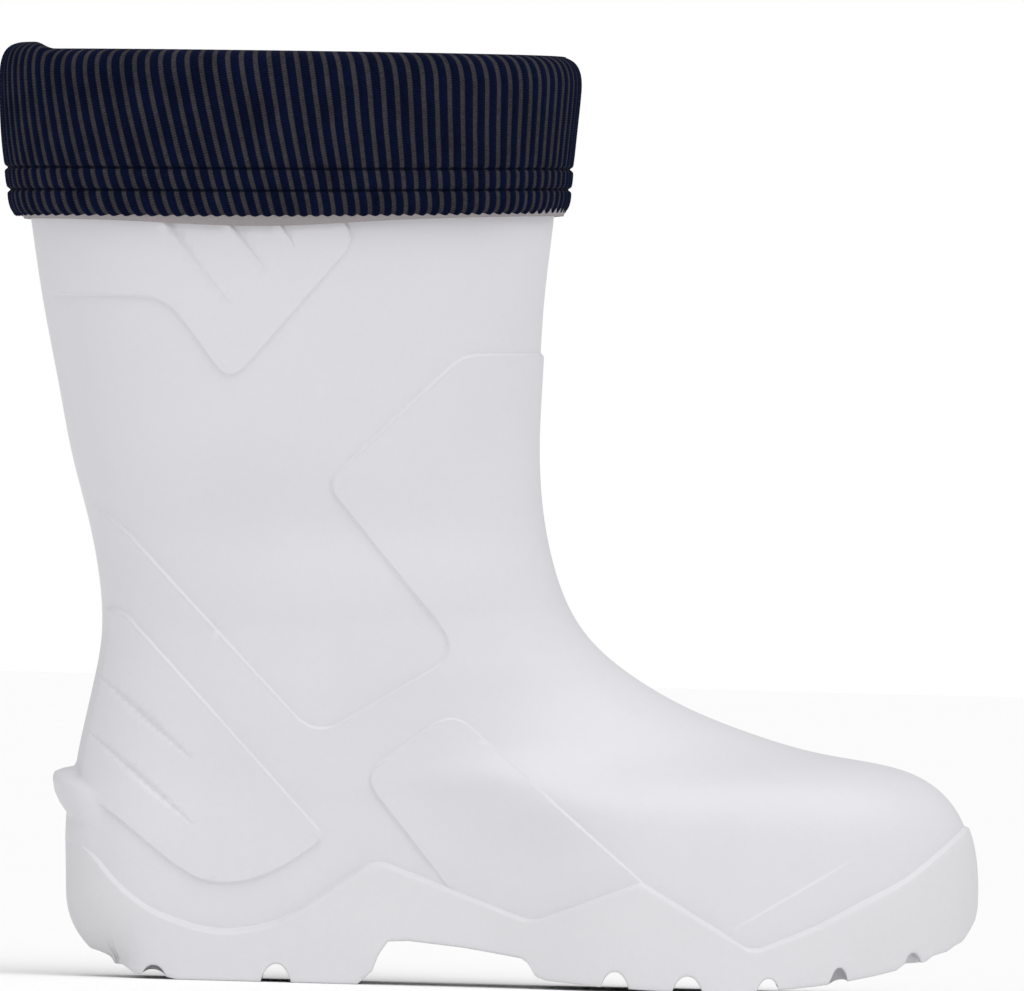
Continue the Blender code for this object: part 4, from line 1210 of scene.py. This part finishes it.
def make_sock(sizes):
    """The sock inside the boot: two skins a wall apart, each from the seam under the cuff to the footbed.

    Where a column of a skin meets its floor it turns in, straight across to the sole's middle line.
    """
    points, out = form(np.linspace(0.5, 17.2, 420), cosine_shares(96)[None, :])
    top = COLLAR_HEIGHT - sizes.lining_drop + SOCK_OVERLAP
    depth = UPPER_WALL + LINER_GAP
    outer = sock_skin(points, out, -depth, LINER_GAP, top)
    inner = sock_skin(points, out, -depth - LINER_WALL, LINER_GAP + LINER_WALL, top)
    grid = np.concatenate([outer, inner[::-1]])
    rows, count, _ = grid.shape
    across = np.arange(count + 1) / count * sizes.ribs
    along = travel(grid[:, count // 4]) / SOCK_RIB + 0.5
    faces = grid_faces(rows, count, False)
    return make_piece("liner_sock", grid.reshape(-1, 3), faces, fabric_map(across, along))


class MESH_OT_boot_upper(bpy.types.Operator):
    """Makes the moulded upper with its panels, grooves, claws and spur."""

    bl_idname = "mesh.boot_upper"
    bl_label = "Make upper"

    def execute(self, context):
        make_upper(context.scene.boot_upper)
        return {"FINISHED"}


class MESH_OT_boot_sole(bpy.types.Operator):
    """Makes the cup sole with its channels, notches and long grooves."""

    bl_idname = "mesh.boot_sole"
    bl_label = "Make sole"

    def execute(self, context):
        make_sole(context.scene.boot_sole)
        return {"FINISHED"}


class MESH_OT_boot_liner(bpy.types.Operator):
    """Makes the ribbed cuff and the sock under it."""

    bl_idname = "mesh.boot_liner"
    bl_label = "Make liner"

    def execute(self, context):
        sizes = context.scene.boot_liner
        cuff, dark_seam_and_shade_lines = make_cuff(sizes)
        knit = knit_material("ribbed navy knit", sizes, dark_seam_and_shade_lines)
        for piece in (cuff, make_sock(sizes)):
            dress(piece, "liner", knit)
        return {"FINISHED"}


def turned(back, hint, place):
    """A 4 by 4 matrix for a thing at a place, looking away from back, its right side square to the hint."""
    back = unit(np.array(back, float))
    right = unit(np.cross(hint, back))
    up = np.cross(back, right)
    return Matrix([(right[k], up[k], back[k], place[k]) for k in range(3)] + [(0, 0, 0, 1)])


def linked(scene, name, data, matrix):
    """A new thing from its data, at a matrix and in the scene."""
    thing = bpy.data.objects.new(name, data)
    thing.matrix_world = matrix
    scene.collection.objects.link(thing)
    return thing


def pale_world(strength):
    """White surroundings that light the boot at a strength and look plain white behind it."""
    world = bpy.data.worlds.new("pale room")
    world.use_nodes = True
    tree = world.node_tree
    lit = tree.nodes["Background"]
    lit.inputs["Color"].default_value = (1, 1, 1, 1)
    lit.inputs["Strength"].default_value = strength
    seen = tree.nodes.new("ShaderNodeBackground")
    seen.inputs["Color"].default_value = (1, 1, 1, 1)
    path = tree.nodes.new("ShaderNodeLightPath")
    mix = tree.nodes.new("ShaderNodeMixShader")
    tree.links.new(path.outputs["Is Camera Ray"], mix.inputs[0])
    tree.links.new(lit.outputs[0], mix.inputs[1])
    tree.links.new(seen.outputs[0], mix.inputs[2])
    tree.links.new(mix.outputs[0], tree.nodes["World Output"].inputs["Surface"])
    return world


def make_floor(scene, sizes):
    """A flat pale square with a faint cloudy tone."""
    mesh = bpy.data.meshes.new("floor")
    corners = [(x * FLOOR_REACH, y * FLOOR_REACH, 0) for x, y in ((-1, -1), (1, -1), (1, 1), (-1, 1))]
    mesh.from_pydata(corners, [], [(0, 1, 2, 3)])
    finish = Finish("pale floor", 0.9)
    cloud = finish.noise(finish.place(), 3.0, 2.0)
    shade = tuple(part * 0.985 for part in sizes.floor)
    mesh.materials.append(finish.show(Base_Color=finish.mix(cloud, (*shade, 1), (*sizes.floor, 1))))
    floor = linked(scene, "floor", mesh, Matrix())


def make_lights(scene, sizes):
    """A broad sun high in front, a low soft lamp by the heel and white surroundings."""
    sun = bpy.data.lights.new("high sun", "SUN")
    sun.energy = sizes.key
    sun.angle = SUN_ANGLE
    linked(scene, "high sun", sun, turned(SUN_DIRECTION, (0, 1, 0), SUN_PLACE))
    fill = bpy.data.lights.new("low fill", "AREA")
    fill.shape = "RECTANGLE"
    fill.size = 0.6
    fill.size_y = 0.3
    fill.energy = sizes.fill
    lamp = linked(scene, "low fill", fill, turned(FILL_DIRECTION, (0, 0, 1), FILL_PLACE))
    lamp.visible_camera = False
    scene.world = pale_world(sizes.sky)


def make_camera(scene, sizes):
    """The camera, level with the boot's outer side and rolled as the photo is."""
    data = bpy.data.cameras.new("camera")
    data.sensor_width = 36
    data.lens = data.sensor_width * sizes.distance / sizes.view_width
    data.clip_end = 50
    up = (-math.sin(sizes.roll), 0, math.cos(sizes.roll))
    place = (AIM[0], -sizes.distance, AIM[1])
    scene.camera = linked(scene, "camera", data, turned((0, -1, 0), up, place))


class SCENE_OT_boot_stage(bpy.types.Operator):
    """Makes the pale floor, the soft high light, the white surroundings and the camera."""

    bl_idname = "scene.boot_stage"
    bl_label = "Make stage"

    def execute(self, context):
        scene = context.scene
        make_floor(scene, scene.boot_stage)
        make_lights(scene, scene.boot_stage)
        make_camera(scene, scene.boot_stage)
        scene.view_settings.view_transform = "Standard"
        return {"FINISHED"}


class VIEW3D_PT_boot(bpy.types.Panel):
    """Lists the boot's pieces and their sizes."""

    bl_label = "Work boot"
    bl_space_type = "VIEW_3D"
    bl_region_type = "UI"
    bl_category = "Boot"

    def draw(self, context):
        for owner, idname in PANEL_ROWS:
            box = self.layout.box()
            box.operator(idname)
            sizes = getattr(context.scene, owner)
            for name in type(sizes).__annotations__:
                box.prop(sizes, name)


PANEL_ROWS = (
    ("boot_upper", "mesh.boot_upper"),
    ("boot_sole", "mesh.boot_sole"),
    ("boot_liner", "mesh.boot_liner"),
    ("boot_stage", "scene.boot_stage"),
)
GROUPS = {
    "boot_upper": UpperSizes, "boot_sole": SoleSizes, "boot_liner": LinerSizes, "boot_stage": StageSizes,
}
OPERATORS = (MESH_OT_boot_upper, MESH_OT_boot_sole, MESH_OT_boot_liner, SCENE_OT_boot_stage)


def register():
    for kind in (*GROUPS.values(), *OPERATORS, VIEW3D_PT_boot):
        bpy.utils.register_class(kind)
    for name, kind in GROUPS.items():
        setattr(bpy.types.Scene, name, bpy.props.PointerProperty(type=kind))


def unregister():
    for name in GROUPS:
        delattr(bpy.types.Scene, name)
    for kind in (VIEW3D_PT_boot, *OPERATORS, *GROUPS.values()):
        bpy.utils.unregister_class(kind)


def main():
    """Makes every piece and the stage."""
    register()
    bpy.ops.mesh.boot_upper()
    bpy.ops.mesh.boot_sole()
    bpy.ops.mesh.boot_liner()
    bpy.ops.scene.boot_stage()


if __name__ == "__main__":
    main()
